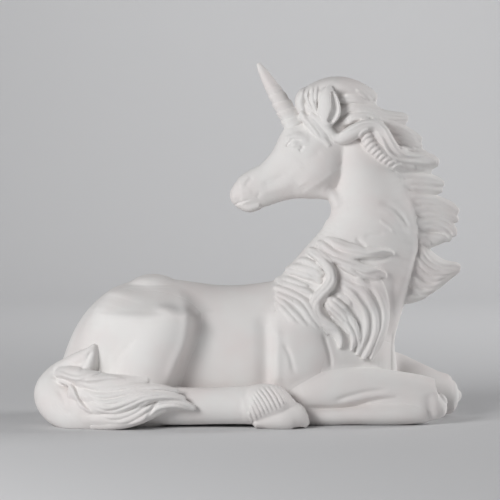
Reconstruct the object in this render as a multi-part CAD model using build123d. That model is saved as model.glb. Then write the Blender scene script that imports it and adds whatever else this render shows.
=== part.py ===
"""A recumbent unicorn figurine in unglazed white earthenware, as the castings it is luted together from.

The row frame is +Z up and +X towards the folded knees; the photograph's viewer looks along +Y.
The figurine rests on the flat base that Z = 0 cuts, with the origin in the middle of its footprint.
Every casting is a loft through oval sections along a traced line. A later casting is trimmed
back to the castings that it is luted on, so that the two meet face to face.
"""

from build123d import *
from math import cos, hypot, radians, sin, sqrt
import os

# The whole figurine: its length fixes the scale of every traced outline.
FIGURE_LENGTH = 240.0
TRACED_LENGTH_PIXELS = 425.0
MM_PER_PIXEL = FIGURE_LENGTH / TRACED_LENGTH_PIXELS

# The traced view: an almost level look from in front, aimed at the middle of the frame.
VIEW_CENTRE_PIXELS = 250.0
VIEW_DISTANCE = 1300.0
VIEW_AIM_HEIGHT = 95.7
VIEW_TILT = radians(3.0)

# Slip casting: the wall that the plaster leaves, and the hole that the spare slip drains through.
WALL = 4.5
POUR_HOLE_DIAMETER = 16.0
POUR_HOLE_PIXELS = (225.0, 418.0)
OVERRUN = 30.0

# Widths are front to back in the photograph. A spread is from the middle plane to a casting's line.
BODY_WIDTH = 62.0
NECK_WIDTH = 44.0
HEAD_WIDTH = 27.0
HAUNCH_WIDTH = 34.0
HAUNCH_SPREAD = 27.0
SHOULDER_WIDTH = 20.0
SHOULDER_SPREAD = 22.0
FORELEG_WIDTH = 21.0
NEAR_FORELEG_SPREAD = 24.0
FAR_FORELEG_SPREAD = 13.0
FORE_CANNON_WIDTH = 17.0
HIND_CANNON_WIDTH = 20.0
HIND_CANNON_SPREAD = 36.0
FEATHER_WIDTH = 23.0
HOOF_WIDTH = 21.0
HOOF_SPREAD = 38.5
HORN_DIAMETER = 11.8
EAR_WIDTH = 8.0
EAR_SPREAD = 11.0
EAR_WALL = 1.8
BROW_LOCK_WIDTH = 6.0
BROW_LOCK_SPREAD = 11.5
FORELOCK_WIDTH = 17.0
MANE_WIDTH = 22.0
SWEPT_LOCK_WIDTH = 12.0
SWEPT_LOCK_SPREAD = 12.5
TAIL_WIDTH = 22.0
TAIL_SPREAD = 40.0
TAIL_LOCK_WIDTH = 9.0
LOCK_WIDTH = 7.0

# Which side of the middle plane a casting lies on, and the ways that straight rows of ovals face.
NEAR = -1.0
FAR = 1.0
FORWARD = Vector(1, 0, 0)
DOWN = Vector(0, 0, -1)

# How far along an oval's tangent its quarter arcs reach, as a share of the oval's half size.
ARC_SHARE = 0.5523
# A trimmed casting drops crumbs smaller than this share of its volume.
CRUMB_SHARE = 0.2


def spot(across, down, depth):
    """The point at a depth behind the middle plane that the traced view shows at a pixel."""
    aim = Vector(0, cos(VIEW_TILT), -sin(VIEW_TILT))
    rise = Vector(0, sin(VIEW_TILT), cos(VIEW_TILT))
    eye = Vector(0, 0, VIEW_AIM_HEIGHT) - aim * VIEW_DISTANCE
    pixels_away = VIEW_DISTANCE / MM_PER_PIXEL
    ray = (
        aim
        + Vector(1, 0, 0) * ((across - VIEW_CENTRE_PIXELS) / pixels_away)
        + rise * ((VIEW_CENTRE_PIXELS - down) / pixels_away)
    )
    return eye + ray * ((depth - eye.Y) / ray.Y)


def section_planes(points, facing):
    """A plane at each point, square to the line or all facing one way, that turns as little as it can."""
    planes = []
    side = Vector(0, 1, 0)
    last = len(points) - 1
    for i, point in enumerate(points):
        along = facing or points[min(i + 1, last)] - points[max(i - 1, 0)]
        along = along.normalized()
        side = (side - along * side.dot(along)).normalized()
        planes.append(Plane(origin=point, x_dir=side, z_dir=along))
    return planes


def oval(plane, half_width, half_height):
    """An oval face of four equal arcs."""
    corners = [
        Vector(half_width, 0),
        Vector(0, half_height),
        Vector(-half_width, 0),
        Vector(0, -half_height),
    ]
    arcs = []
    for start, end in zip(corners, corners[1:] + corners[:1]):
        arcs.append(Bezier(start, start + end * ARC_SHARE, end + start * ARC_SHARE, end))
    return plane * make_face(Wire(arcs))


def skin_depth(across, down):
    """How far from the middle plane the neck's or body's side lies at a pixel of the traced view."""
    deepest = 0.0
    for stations, width in ((BODY_PIXELS_AND_SHARES, BODY_WIDTH), (NECK_PIXELS_AND_SHARES, NECK_WIDTH)):
        for (x, y, half, _, share), (next_x, next_y, next_half, _, next_share) in zip(stations, stations[1:]):
            run_x, run_y = next_x - x, next_y - y
            part = ((across - x) * run_x + (down - y) * run_y) / (run_x**2 + run_y**2)
            part = min(max(part, 0), 1)
            off = hypot(across - x - part * run_x, down - y - part * run_y)
            off_share = off / (half + part * (next_half - half))
            if off_share < 1:
                half_width = width / 2 * (share + part * (next_share - share))
                deepest = max(deepest, half_width * sqrt(1 - off_share**2))
    return deepest


def on_skin(stations):
    """Stations whose spread is a depth in millimetres, for a lock that lies on the neck and body."""
    return [
        (across, down, half, skin_depth(across, down) + rise_share * LOCK_WIDTH / 2, width_share)
        for across, down, half, rise_share, width_share in stations
    ]


def casting(stations, width, spread=0.0, side=NEAR, facing=None, inset=0.0):
    """A loft through stations of (across, down, half height) in pixels and (spread, width) shares."""
    points = [spot(across, down, side * spread * spread_share) for across, down, _, spread_share, _ in stations]
    ovals = []
    for plane, (_, _, half_pixels, _, width_share) in zip(section_planes(points, facing), stations):
        half_width = width / 2 * width_share - inset
        half_height = half_pixels * MM_PER_PIXEL - inset
        ovals.append(oval(plane, half_width, half_height))
    return loft(ovals)


# Stations: pixels across, pixels down, half height in pixels, share of the spread, share of the width.
BODY_PIXELS_AND_SHARES = (
    (62, 393, 31, 0, 0.30),
    (68, 386, 41, 0, 0.50),
    (76, 377, 50, 0, 0.68),
    (88, 369, 59.5, 0, 0.84),
    (105, 361, 67.5, 0, 0.94),
    (125, 356, 73, 0, 0.98),
    (150, 354, 75.5, 0, 1.0),
    (180, 355, 74.5, 0, 0.98),
    (215, 357, 71, 0, 0.98),
    (245, 357.5, 71, 0, 1.0),
    (275, 355, 73, 0, 1.0),
    (305, 354, 73, 0, 0.96),
    (335, 355, 70, 0, 0.88),
    (360, 358, 64, 0, 0.74),
    (378, 364, 52, 0, 0.56),
    (390, 372, 34, 0, 0.32),
)
NECK_PIXELS_AND_SHARES = (
    (316, 342, 58, 0, 1.0),
    (334, 310, 66, 0, 1.04),
    (352, 280, 58, 0, 1.0),
    (366, 252, 51, 0, 0.91),
    (373, 228, 47, 0, 0.83),
    (373.5, 208, 42.5, 0, 0.78),
    (370, 189, 37, 0, 0.72),
    (364, 171, 30, 0, 0.68),
    (356, 154, 22, 0, 0.60),
    (349, 139, 14, 0, 0.46),
)
HEAD_PIXELS_AND_SHARES = (
    (230.6, 197, 4.5, 0, 0.22),
    (232.6, 196.3, 9, 0, 0.38),
    (237, 195.2, 13.2, 0, 0.50),
    (244, 194.5, 17.5, 0, 0.56),
    (257, 189.5, 19, 0, 0.56),
    (272.5, 182, 21.5, 0, 0.62),
    (286, 174.5, 27, 0, 0.76),
    (299, 166.5, 35.5, 0, 0.92),
    (312, 157, 42, 0, 1.0),
    (323, 147, 39, 0, 0.96),
    (333, 137, 30, 0, 0.82),
    (341, 128, 18, 0, 0.56),
)
HORN_PIXELS_AND_SHARES = (
    (294, 124, 11.2, 0, 1.06),
    (291, 119, 10.2, 0, 1.0),
    (286.5, 111.5, 9.8, 0, 0.96),
    (281.5, 103, 9.0, 0, 0.88),
    (275.5, 93, 8.0, 0, 0.78),
    (269.5, 83, 6.6, 0, 0.64),
    (264, 74, 5.0, 0, 0.48),
    (260.4, 67.5, 3.6, 0, 0.34),
    (258.6, 64, 1.6, 0, 0.16),
)
EAR_PIXELS_AND_SHARES = (
    (327, 127, 5, 0.80, 0.80),
    (327, 119, 8.5, 0.92, 0.95),
    (328, 109, 12, 1.0, 1.0),
    (329, 99, 10.5, 1.02, 0.9),
    (330.5, 91, 6.5, 1.0, 0.6),
    (331.5, 86, 2.5, 0.98, 0.3),
)
FORELOCK_PIXELS_AND_SHARES = (
    (330, 92, 9, 0, 1.0),
    (319, 91, 9, 0, 1.0),
    (309, 94, 9.5, 0, 1.0),
    (303, 101, 8, 0, 0.92),
    (303.5, 110, 6, 0, 0.76),
    (307, 117, 3.5, 0, 0.5),
)
BROW_LOCK_PIXELS_AND_SHARES = (
    (304, 117, 3, 0.62, 0.7),
    (311, 124, 4, 0.86, 1.0),
    (318, 134, 4, 1.0, 1.0),
    (324, 143, 2, 1.06, 0.5),
)
# The mane, from the poll down the crest: each lock from its root to its blown tip.
MANE_PIXELS_AND_SHARES = {
    "poll": (
        (324, 94, 9, 0, 0.8),
        (334, 90, 13, 0, 1.05),
        (347, 91, 14.5, 0, 1.1),
        (360, 95, 12, 0, 0.9),
        (370, 98, 9, 0, 0.6),
        (376, 99, 4, 0, 0.24),
    ),
    "crown": (
        (340, 122, 15, 0, 1.05),
        (354, 116, 15.5, 0, 1.1),
        (370, 115, 13.5, 0, 0.95),
        (386, 116, 11.5, 0, 0.72),
        (399, 117, 9, 0, 0.5),
        (407, 118, 4, 0, 0.2),
    ),
    "nape": (
        (362, 136, 13, 0, 1.0),
        (378, 135, 13.5, 0, 0.9),
        (394, 137, 13, 0, 0.7),
        (409, 140, 10.5, 0, 0.46),
        (422, 142, 4.5, 0, 0.2),
    ),
    "upper": (
        (362, 148, 12, 0, 1.1),
        (377, 153, 16, 0, 1.05),
        (394, 159, 17, 0, 0.9),
        (412, 162, 15.5, 0, 0.68),
        (427, 162, 12, 0, 0.46),
        (438, 161, 5, 0, 0.2),
    ),
    "middle": (
        (388, 178, 16, 0, 1.0),
        (403, 182, 16, 0, 0.8),
        (419, 184, 14.5, 0, 0.6),
        (434, 184, 11.5, 0, 0.4),
        (444, 184, 5, 0, 0.2),
    ),
    "lower": (
        (396, 201, 19, 0, 0.95),
        (413, 205, 19.5, 0, 0.74),
        (431, 208, 17.5, 0, 0.54),
        (448, 211, 13.5, 0, 0.36),
        (458, 213, 5.5, 0, 0.2),
    ),
    "drape": (
        (400, 230, 20, 0, 0.9),
        (416, 230, 19, 0, 0.72),
        (433, 229, 16, 0, 0.54),
        (447, 229, 13.5, 0, 0.36),
        (456, 229, 8.5, 0, 0.2),
    ),
    "trailing": (
        (398, 274, 34, 0, 0.9),
        (410, 274, 32, 0, 0.78),
        (424, 272.5, 26, 0, 0.62),
        (439, 270, 16, 0, 0.44),
        (452, 268, 8.5, 0, 0.28),
        (461, 267.5, 3.5, 0, 0.16),
    ),
}
SWEPT_LOCK_PIXELS_AND_SHARES = (
    (334, 139, 4.5, 0.86, 0.6),
    (345, 135, 6.5, 0.92, 0.9),
    (357, 128.5, 7.5, 0.96, 1.0),
    (369, 126, 7, 0.94, 1.0),
    (380, 133, 6.5, 0.86, 1.0),
    (389, 145, 7, 0.76, 0.95),
    (401, 156, 7.5, 0.62, 0.85),
    (416, 160, 6.5, 0.46, 0.65),
    (427, 161, 4, 0.36, 0.4),
)
# The locks that spill over the near shoulder from the withers. Here the fourth value is how far a
# lock's line lies outside the skin, as a share of half its width.
SHOULDER_LOCK_PIXELS_AND_SHARES = {
    "curl": (
        (317, 257, 5.5, 0.7, 1.0),
        (327, 270, 6, 0.7, 1.2),
        (325, 286, 6, 0.7, 1.2),
        (320, 301, 6, 0.7, 1.2),
        (323, 316, 5.5, 0.7, 1.1),
        (332, 329, 4.5, 0.7, 0.9),
        (339, 342, 2.5, 0.7, 0.5),
    ),
    "withers": (
        (286, 266, 4, 0.0, 0.8),
        (298, 272, 6.5, 0.2, 1.0),
        (310, 279, 6.5, 0.4, 1.0),
        (319, 286, 4, 0.3, 0.7),
    ),
    "saddle": (
        (275, 281, 4.5, 0.0, 0.8),
        (288, 288, 7, 0.3, 1.0),
        (302, 297, 7, 0.4, 1.1),
        (311, 309, 6.5, 0.4, 1.1),
        (321, 322, 5, 0.3, 0.9),
        (329, 332, 2.5, 0.1, 0.5),
    ),
    "outer": (
        (276, 290, 4.5, 0.1, 0.8),
        (283, 303, 7, 0.3, 1.0),
        (292, 315, 7, 0.3, 1.0),
        (300, 326, 4, 0.2, 0.7),
        (305, 331, 2, 0.1, 0.4),
    ),
    "throat": (
        (318, 236, 4, 0.1, 0.8),
        (328, 243, 7, 0.2, 1.0),
        (342, 251, 8, 0.3, 1.1),
        (358, 257, 7.5, 0.4, 1.0),
        (377, 256, 5.5, 0.4, 0.8),
        (391, 253.5, 3, 0.3, 0.5),
    ),
    "breast": (
        (330, 262, 6, 0.1, 0.8),
        (344, 268, 8.5, 0.3, 1.1),
        (359, 274, 8, 0.4, 1.0),
        (374, 276, 6, 0.4, 0.8),
        (385, 274, 3, 0.3, 0.5),
    ),
    "tuft": (
        (344, 284, 8, 0.1, 1.0),
        (343, 297, 9.5, 0.4, 1.2),
        (344, 311, 8.5, 0.4, 1.2),
        (349, 326, 6, 0.3, 1.0),
        (352, 345, 3, 0.1, 0.6),
    ),
    "chest": (
        (366, 284, 6, 0.1, 0.8),
        (371, 299, 8, 0.2, 1.0),
        (375, 315, 8, 0.2, 1.0),
        (374, 333, 6.5, 0.2, 0.9),
        (368, 352, 4, 0.1, 0.6),
    ),
}
HAUNCH_PIXELS_AND_SHARES = (
    (152, 288, 16, 0.26, 0.36),
    (152, 297, 34, 0.58, 0.72),
    (153, 317, 47, 0.94, 0.98),
    (154, 337, 46, 1.0, 1.0),
    (152, 358, 39, 1.0, 0.98),
    (149, 380, 33, 0.98, 0.92),
    (146, 402, 28, 0.96, 0.84),
    (144, 424, 24, 0.94, 0.76),
)
SHOULDER_PIXELS_AND_SHARES = (
    (306, 290, 14, 0.5, 0.45),
    (305, 299, 22, 0.72, 0.68),
    (302, 312, 27, 0.96, 0.9),
    (299, 332, 29, 1.04, 1.0),
    (299, 352, 30, 1.06, 1.0),
    (296, 372, 27, 1.06, 0.9),
    (290, 392, 20, 1.04, 0.7),
)
NEAR_FOREARM_PIXELS_AND_SHARES = (
    (286, 404, 13, 0.92, 0.70),
    (302, 397.5, 18.5, 1.0, 0.92),
    (322, 392, 21, 1.0, 1.0),
    (346, 389, 21, 1.0, 1.0),
    (370, 388, 19.5, 1.0, 0.96),
    (394, 390, 18.5, 1.0, 0.92),
    (414, 396, 19.5, 1.0, 0.92),
    (430, 404, 19, 1.0, 0.9),
    (438, 409, 13, 1.0, 0.72),
    (442, 411, 6, 1.0, 0.4),
)
FAR_FOREARM_PIXELS_AND_SHARES = (
    (352, 362, 16, 0.8, 0.9),
    (372, 366, 20, 0.9, 1.0),
    (392, 373, 21.5, 1.0, 1.0),
    (412, 381, 20.5, 1.0, 0.96),
    (432, 390, 20, 1.0, 0.94),
    (446, 396, 19, 1.0, 0.9),
    (454.5, 398, 14, 1.0, 0.72),
    (459, 398.5, 7, 1.0, 0.4),
)
NEAR_FORE_CANNON_PIXELS_AND_SHARES = (
    (268, 416.5, 9, 0.92, 0.9),
    (292, 416, 9.5, 1.0, 0.95),
    (320, 416, 9.8, 1.08, 1.0),
    (350, 414.5, 9.8, 1.1, 1.0),
    (380, 413, 12, 1.1, 1.05),
    (404, 412, 12.5, 1.08, 1.1),
    (424, 411.5, 11, 1.04, 1.0),
)
FAR_FORE_CANNON_PIXELS_AND_SHARES = (
    (300, 408, 9, 1.4, 0.9),
    (324, 407.5, 9.5, 1.45, 0.95),
    (352, 407, 9.8, 1.5, 1.0),
    (382, 406, 11, 1.45, 1.05),
    (412, 406, 12, 1.3, 1.1),
    (436, 406, 11, 1.15, 1.0),
)
HIND_CANNON_PIXELS_AND_SHARES = (
    (112, 407, 12, 0.9, 0.8),
    (135, 406, 18, 0.94, 0.98),
    (165, 406, 18.5, 0.98, 1.0),
    (195, 406, 18, 1.0, 0.96),
    (225, 405.5, 18, 1.02, 0.96),
    (250, 405, 18.5, 1.05, 1.0),
    (264, 405, 18, 1.06, 0.96),
)
FEATHER_PIXELS_AND_SHARES = (
    (247, 406, 17, 1.0, 0.9),
    (254, 405, 19.5, 1.0, 1.0),
    (265, 405, 20, 1.02, 1.0),
    (277, 405, 16, 1.04, 0.9),
    (286, 406, 10, 1.04, 0.7),
)
HOOF_PIXELS_AND_SHARES = (
    (262, 418, 8, 1.0, 0.86),
    (272, 413, 15, 1.0, 1.0),
    (283, 411, 18, 1.02, 1.04),
    (293, 413, 16.5, 1.04, 1.0),
    (301, 418, 11, 1.04, 0.86),
    (306, 423, 5, 1.04, 0.56),
)
# The tail wraps from the dock round the hock, then lies forward along the near side.
TAIL_DOCK_PIXELS_AND_SHARES = (
    (82, 352, 10, 0.1, 0.6),
    (72, 362, 13, 0.2, 0.8),
    (60, 374, 15, 0.36, 0.95),
    (53, 390, 16, 0.56, 1.0),
    (58, 404, 16, 0.78, 1.0),
    (72, 411, 15, 0.96, 1.0),
    (90, 413, 14, 1.04, 0.9),
    (108, 414, 12, 1.06, 0.76),
    (124, 416, 8, 1.06, 0.5),
)
TAIL_LOCK_PIXELS_AND_SHARES = {
    "top": (
        (66, 374, 9, 0.9, 1.2),
        (78, 378, 11, 1.0, 1.4),
        (94, 381, 10, 1.06, 1.4),
        (112, 383, 8.5, 1.1, 1.2),
        (130, 382, 6, 1.12, 0.9),
        (147, 380, 2.5, 1.12, 0.4),
    ),
    "upper": (
        (74, 392, 9, 1.02, 1.2),
        (92, 397, 9, 1.12, 1.2),
        (112, 396, 8, 1.18, 1.1),
        (136, 391, 6.5, 1.2, 1.0),
        (158, 389, 5, 1.2, 0.9),
        (177, 391, 2.5, 1.18, 0.4),
    ),
    "middle": (
        (81, 405, 8, 1.06, 1.2),
        (102, 407, 8.2, 1.21, 1.3),
        (124, 403.5, 7.2, 1.25, 1.2),
        (146, 397.5, 5.8, 1.27, 1.1),
        (166, 395.5, 4.4, 1.25, 0.9),
        (184, 398, 2.4, 1.2, 0.4),
    ),
    "lower": (
        (88, 417, 7.5, 1.1, 1.2),
        (108, 418, 7.4, 1.19, 1.3),
        (128, 414.5, 6.8, 1.21, 1.2),
        (147, 409, 5.8, 1.21, 1.1),
        (164, 405.5, 5.2, 1.19, 1.0),
        (180, 405, 4.6, 1.17, 0.8),
        (195, 408, 2.4, 1.14, 0.4),
    ),
    "floor": (
        (96, 424, 6, 1.1, 1.1),
        (116, 423, 6.5, 1.2, 1.2),
        (134, 420, 6, 1.24, 1.1),
        (150, 415, 4.5, 1.24, 0.8),
        (160, 410, 2, 1.22, 0.4),
    ),
    "flick": (
        (78, 368, 9, 0.62, 1.4),
        (84, 362, 9.5, 0.8, 1.4),
        (90, 355, 7.5, 0.86, 1.1),
        (94, 348, 4.5, 0.86, 0.7),
        (95, 343, 1.8, 0.84, 0.3),
    ),
}


def ground():
    """The block under the figurine, which its flat base is cut on."""
    side = 2 * FIGURE_LENGTH
    return Pos(0, 0, -side / 2) * Box(side, side, side)


def largest(shape):
    """The casting without the crumbs that a trim leaves."""
    solids = sorted(shape.solids(), key=lambda solid: solid.volume, reverse=True)
    kept = [solid for solid in solids if solid.volume > CRUMB_SHARE * solids[0].volume]
    return kept[0] if len(kept) == 1 else Compound(kept)


def apart(a, b):
    """Whether two bounding boxes miss each other."""
    return (
        a.min.X > b.max.X
        or b.min.X > a.max.X
        or a.min.Y > b.max.Y
        or b.min.Y > a.max.Y
        or a.min.Z > b.max.Z
        or b.min.Z > a.max.Z
    )


def pair(name, near_casting):
    """A casting of the near side and its mirror image on the far side."""
    yield f"near_{name}", near_casting
    yield f"far_{name}", mirror(near_casting, about=Plane.XZ)


def ear():
    """The near ear, a leaf with a scoop in its outer face."""
    leaf = casting(EAR_PIXELS_AND_SHARES, EAR_WIDTH, EAR_SPREAD)
    scoop = casting(EAR_PIXELS_AND_SHARES[1:-1], EAR_WIDTH, EAR_SPREAD + EAR_WIDTH / 2, inset=EAR_WALL)
    return leaf - scoop


def blanks():
    """Each untrimmed casting by name, the ones that others are luted on first."""
    yield "body", casting(BODY_PIXELS_AND_SHARES, BODY_WIDTH, facing=FORWARD)
    yield "neck_shell", casting(NECK_PIXELS_AND_SHARES, NECK_WIDTH)
    yield "head", casting(HEAD_PIXELS_AND_SHARES, HEAD_WIDTH)
    yield "horn", casting(HORN_PIXELS_AND_SHARES, HORN_DIAMETER)
    yield from pair("haunch", casting(HAUNCH_PIXELS_AND_SHARES, HAUNCH_WIDTH, HAUNCH_SPREAD, facing=DOWN))
    yield from pair(
        "shoulder", casting(SHOULDER_PIXELS_AND_SHARES, SHOULDER_WIDTH, SHOULDER_SPREAD, facing=DOWN)
    )
    yield "near_forearm", casting(NEAR_FOREARM_PIXELS_AND_SHARES, FORELEG_WIDTH, NEAR_FORELEG_SPREAD)
    yield "far_forearm", casting(FAR_FOREARM_PIXELS_AND_SHARES, FORELEG_WIDTH, FAR_FORELEG_SPREAD, FAR)
    yield "near_fore_cannon", casting(NEAR_FORE_CANNON_PIXELS_AND_SHARES, FORE_CANNON_WIDTH, NEAR_FORELEG_SPREAD)
    yield "far_fore_cannon", casting(FAR_FORE_CANNON_PIXELS_AND_SHARES, FORE_CANNON_WIDTH, FAR_FORELEG_SPREAD, FAR)
    yield from pair("hind_hoof", casting(HOOF_PIXELS_AND_SHARES, HOOF_WIDTH, HOOF_SPREAD))
    yield from pair("hind_feather", casting(FEATHER_PIXELS_AND_SHARES, FEATHER_WIDTH, HOOF_SPREAD))
    yield from pair("hind_cannon", casting(HIND_CANNON_PIXELS_AND_SHARES, HIND_CANNON_WIDTH, HIND_CANNON_SPREAD))
    yield from pair("ear", ear())
    yield "brow_lock", casting(BROW_LOCK_PIXELS_AND_SHARES, BROW_LOCK_WIDTH, BROW_LOCK_SPREAD)
    yield "swept_lock", casting(SWEPT_LOCK_PIXELS_AND_SHARES, SWEPT_LOCK_WIDTH, SWEPT_LOCK_SPREAD)
    yield "forelock", casting(FORELOCK_PIXELS_AND_SHARES, FORELOCK_WIDTH)
    for label, stations in MANE_PIXELS_AND_SHARES.items():
        yield f"mane_{label}", casting(stations, MANE_WIDTH)
    for label, stations in SHOULDER_LOCK_PIXELS_AND_SHARES.items():
        near_lock = casting(on_skin(stations), LOCK_WIDTH, spread=1.0)
        yield f"shoulder_lock_{label}", near_lock
        yield f"far_shoulder_lock_{label}", mirror(near_lock, about=Plane.XZ)
    yield "tail_dock", casting(TAIL_DOCK_PIXELS_AND_SHARES, TAIL_WIDTH, TAIL_SPREAD)
    for label, stations in TAIL_LOCK_PIXELS_AND_SHARES.items():
        yield f"tail_lock_{label}", casting(stations, TAIL_LOCK_WIDTH, TAIL_SPREAD)


def trimmed():
    """Every casting, cut flat on the ground and trimmed back to the castings before it."""
    floor_block = ground()
    done = {}
    earlier = []
    for name, blank in blanks():
        box = blank.bounding_box()
        shape = blank if box.min.Z > 0 else blank - floor_block
        for other, other_box in earlier:
            if not apart(box, other_box):
                shape = shape - other
        earlier.append((blank, box))
        done[name] = largest(shape)
    return done


def hollow(done):
    """Empty the body and neck as the drained slip leaves them, and part the body as its mould parts."""
    body_cavity = casting(
        BODY_PIXELS_AND_SHARES[3:-3], BODY_WIDTH, facing=FORWARD, inset=WALL
    ) - Pos(0, 0, WALL) * ground()
    neck_cavity = casting(NECK_PIXELS_AND_SHARES[:-3], NECK_WIDTH, inset=WALL)
    mouth = spot(*POUR_HOLE_PIXELS, 0)
    pour_hole = Pos(mouth.X, 0, 0) * Cylinder(POUR_HOLE_DIAMETER / 2, OVERRUN)
    body = largest(done.pop("body") - body_cavity - neck_cavity - pour_hole)
    done["near_body_shell"] = largest(split(body, bisect_by=Plane.XZ, keep=Keep.TOP))
    done["far_body_shell"] = largest(split(body, bisect_by=Plane.XZ, keep=Keep.BOTTOM))
    done["neck_shell"] = largest(done["neck_shell"] - neck_cavity - body_cavity)


def centred(done):
    """Move every casting so that the origin is in the middle of the whole figurine's box."""
    box = Compound(list(done.values())).bounding_box()
    move = Pos(-box.center().X, -box.center().Y, 0)
    return {name: move * shape for name, shape in done.items()}


if __name__ == "__main__":
    os.makedirs("parts", exist_ok=True)
    castings = trimmed()
    hollow(castings)
    for name, shape in centred(castings).items():
        export_step(shape, f"parts/{name}.step")
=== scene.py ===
# %% [markdown]
# # A recumbent unicorn in white bisque
#
# The real figurine is slip cast: liquid clay fills a plaster mould, a skin of clay sets on the plaster,
# and the rest is poured out. What comes out has no seams that show, only soft masses that meet in creases.
# So this lesson doesn't build it from boxes and subdivision. It sculpts with distances: each limb or lock
# of hair is a formula that says how far any point is from its surface, and neighbours melt together.
# Every piece replaces the node of the frame that it is named after, and the body replaces both halves of
# its shell. All of them ride on one body, because nothing on the figurine moves.

# %% Load the frame
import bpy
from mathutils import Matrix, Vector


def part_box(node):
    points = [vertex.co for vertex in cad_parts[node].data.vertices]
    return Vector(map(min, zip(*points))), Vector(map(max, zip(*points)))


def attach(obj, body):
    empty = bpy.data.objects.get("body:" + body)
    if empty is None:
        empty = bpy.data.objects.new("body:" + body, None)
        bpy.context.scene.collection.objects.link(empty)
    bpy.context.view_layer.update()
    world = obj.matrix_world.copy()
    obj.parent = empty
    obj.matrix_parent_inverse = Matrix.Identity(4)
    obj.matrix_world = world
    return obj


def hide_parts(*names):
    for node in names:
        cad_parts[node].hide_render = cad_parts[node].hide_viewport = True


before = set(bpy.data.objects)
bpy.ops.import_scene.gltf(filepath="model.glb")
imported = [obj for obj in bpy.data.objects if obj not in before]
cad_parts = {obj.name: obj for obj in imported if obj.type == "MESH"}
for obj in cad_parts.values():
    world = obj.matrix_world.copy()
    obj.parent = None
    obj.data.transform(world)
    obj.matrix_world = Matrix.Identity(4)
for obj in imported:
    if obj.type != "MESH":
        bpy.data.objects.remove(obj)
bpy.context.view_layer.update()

# %% [markdown]
# ## Where a traced point lies
#
# The forms follow points traced on the one view there is. A point on a picture is a ray in space, so it
# needs a depth as well. `spot` gives the place in millimetres for a traced point and a depth behind the
# middle plane. The alternative, treating the picture as a flat drawing, would place near feet too low.

# %% The traced view
import math
import bpy
import numpy as np
from mathutils import Vector

MM = 0.001
FIGURE_LENGTH = 240.0
FIGURE_PIXELS = 425.0
MM_PER_PIXEL = FIGURE_LENGTH / FIGURE_PIXELS
PICTURE_SIDE = 500
MIDDLE = PICTURE_SIDE / 2
EYE_DISTANCE = 1300.0
AIM_HEIGHT = 95.7
TILT = math.radians(3.0)
FOCAL_PIXELS = EYE_DISTANCE / MM_PER_PIXEL
ACROSS = np.array([1.0, 0.0, 0.0])
AIM = np.array([0.0, math.cos(TILT), -math.sin(TILT)])
RISE = np.array([0.0, math.sin(TILT), math.cos(TILT)])
EYE = np.array([0.0, 0.0, AIM_HEIGHT]) - AIM * EYE_DISTANCE
RUMP_PIXELS = (62, 393)


def spot(across, down, depth):
    """The place in millimetres that a pixel of the traced view shows, at a depth behind the middle plane."""
    ray = AIM + ACROSS * ((across - MIDDLE) / FOCAL_PIXELS) + RISE * ((MIDDLE - down) / FOCAL_PIXELS)
    return EYE + ray * ((depth - EYE[1]) / ray[1])


halves = [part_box(name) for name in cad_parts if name.endswith("body_shell")]
body_low = Vector([min(low[i] for low, high in halves) for i in range(3)])
body_high = Vector([max(high[i] for low, high in halves) for i in range(3)])
SHIFT = np.array([body_low.x / MM - spot(*RUMP_PIXELS, 0)[0], (body_low.y + body_high.y) / 2 / MM, 0.0])
print("the frame's middle plane is at", np.round(SHIFT, 2), "mm")

# %% [markdown]
# ## A limb as a distance
#
# A limb is a row of ovals strung on a smooth curve. For any point in space, the nearest place on the curve
# gives the oval there, and how far outside that oval the point lies is its distance. A subdivided tube
# would do for one limb, but tubes only cross each other where clay would flow together.
# Each station is: pixels across, pixels down, half height in pixels, depth, half width, both in millimetres.

# %% Limbs
FAR_AWAY = 1e9
FLAT_SLOPE = 1e-4


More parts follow.
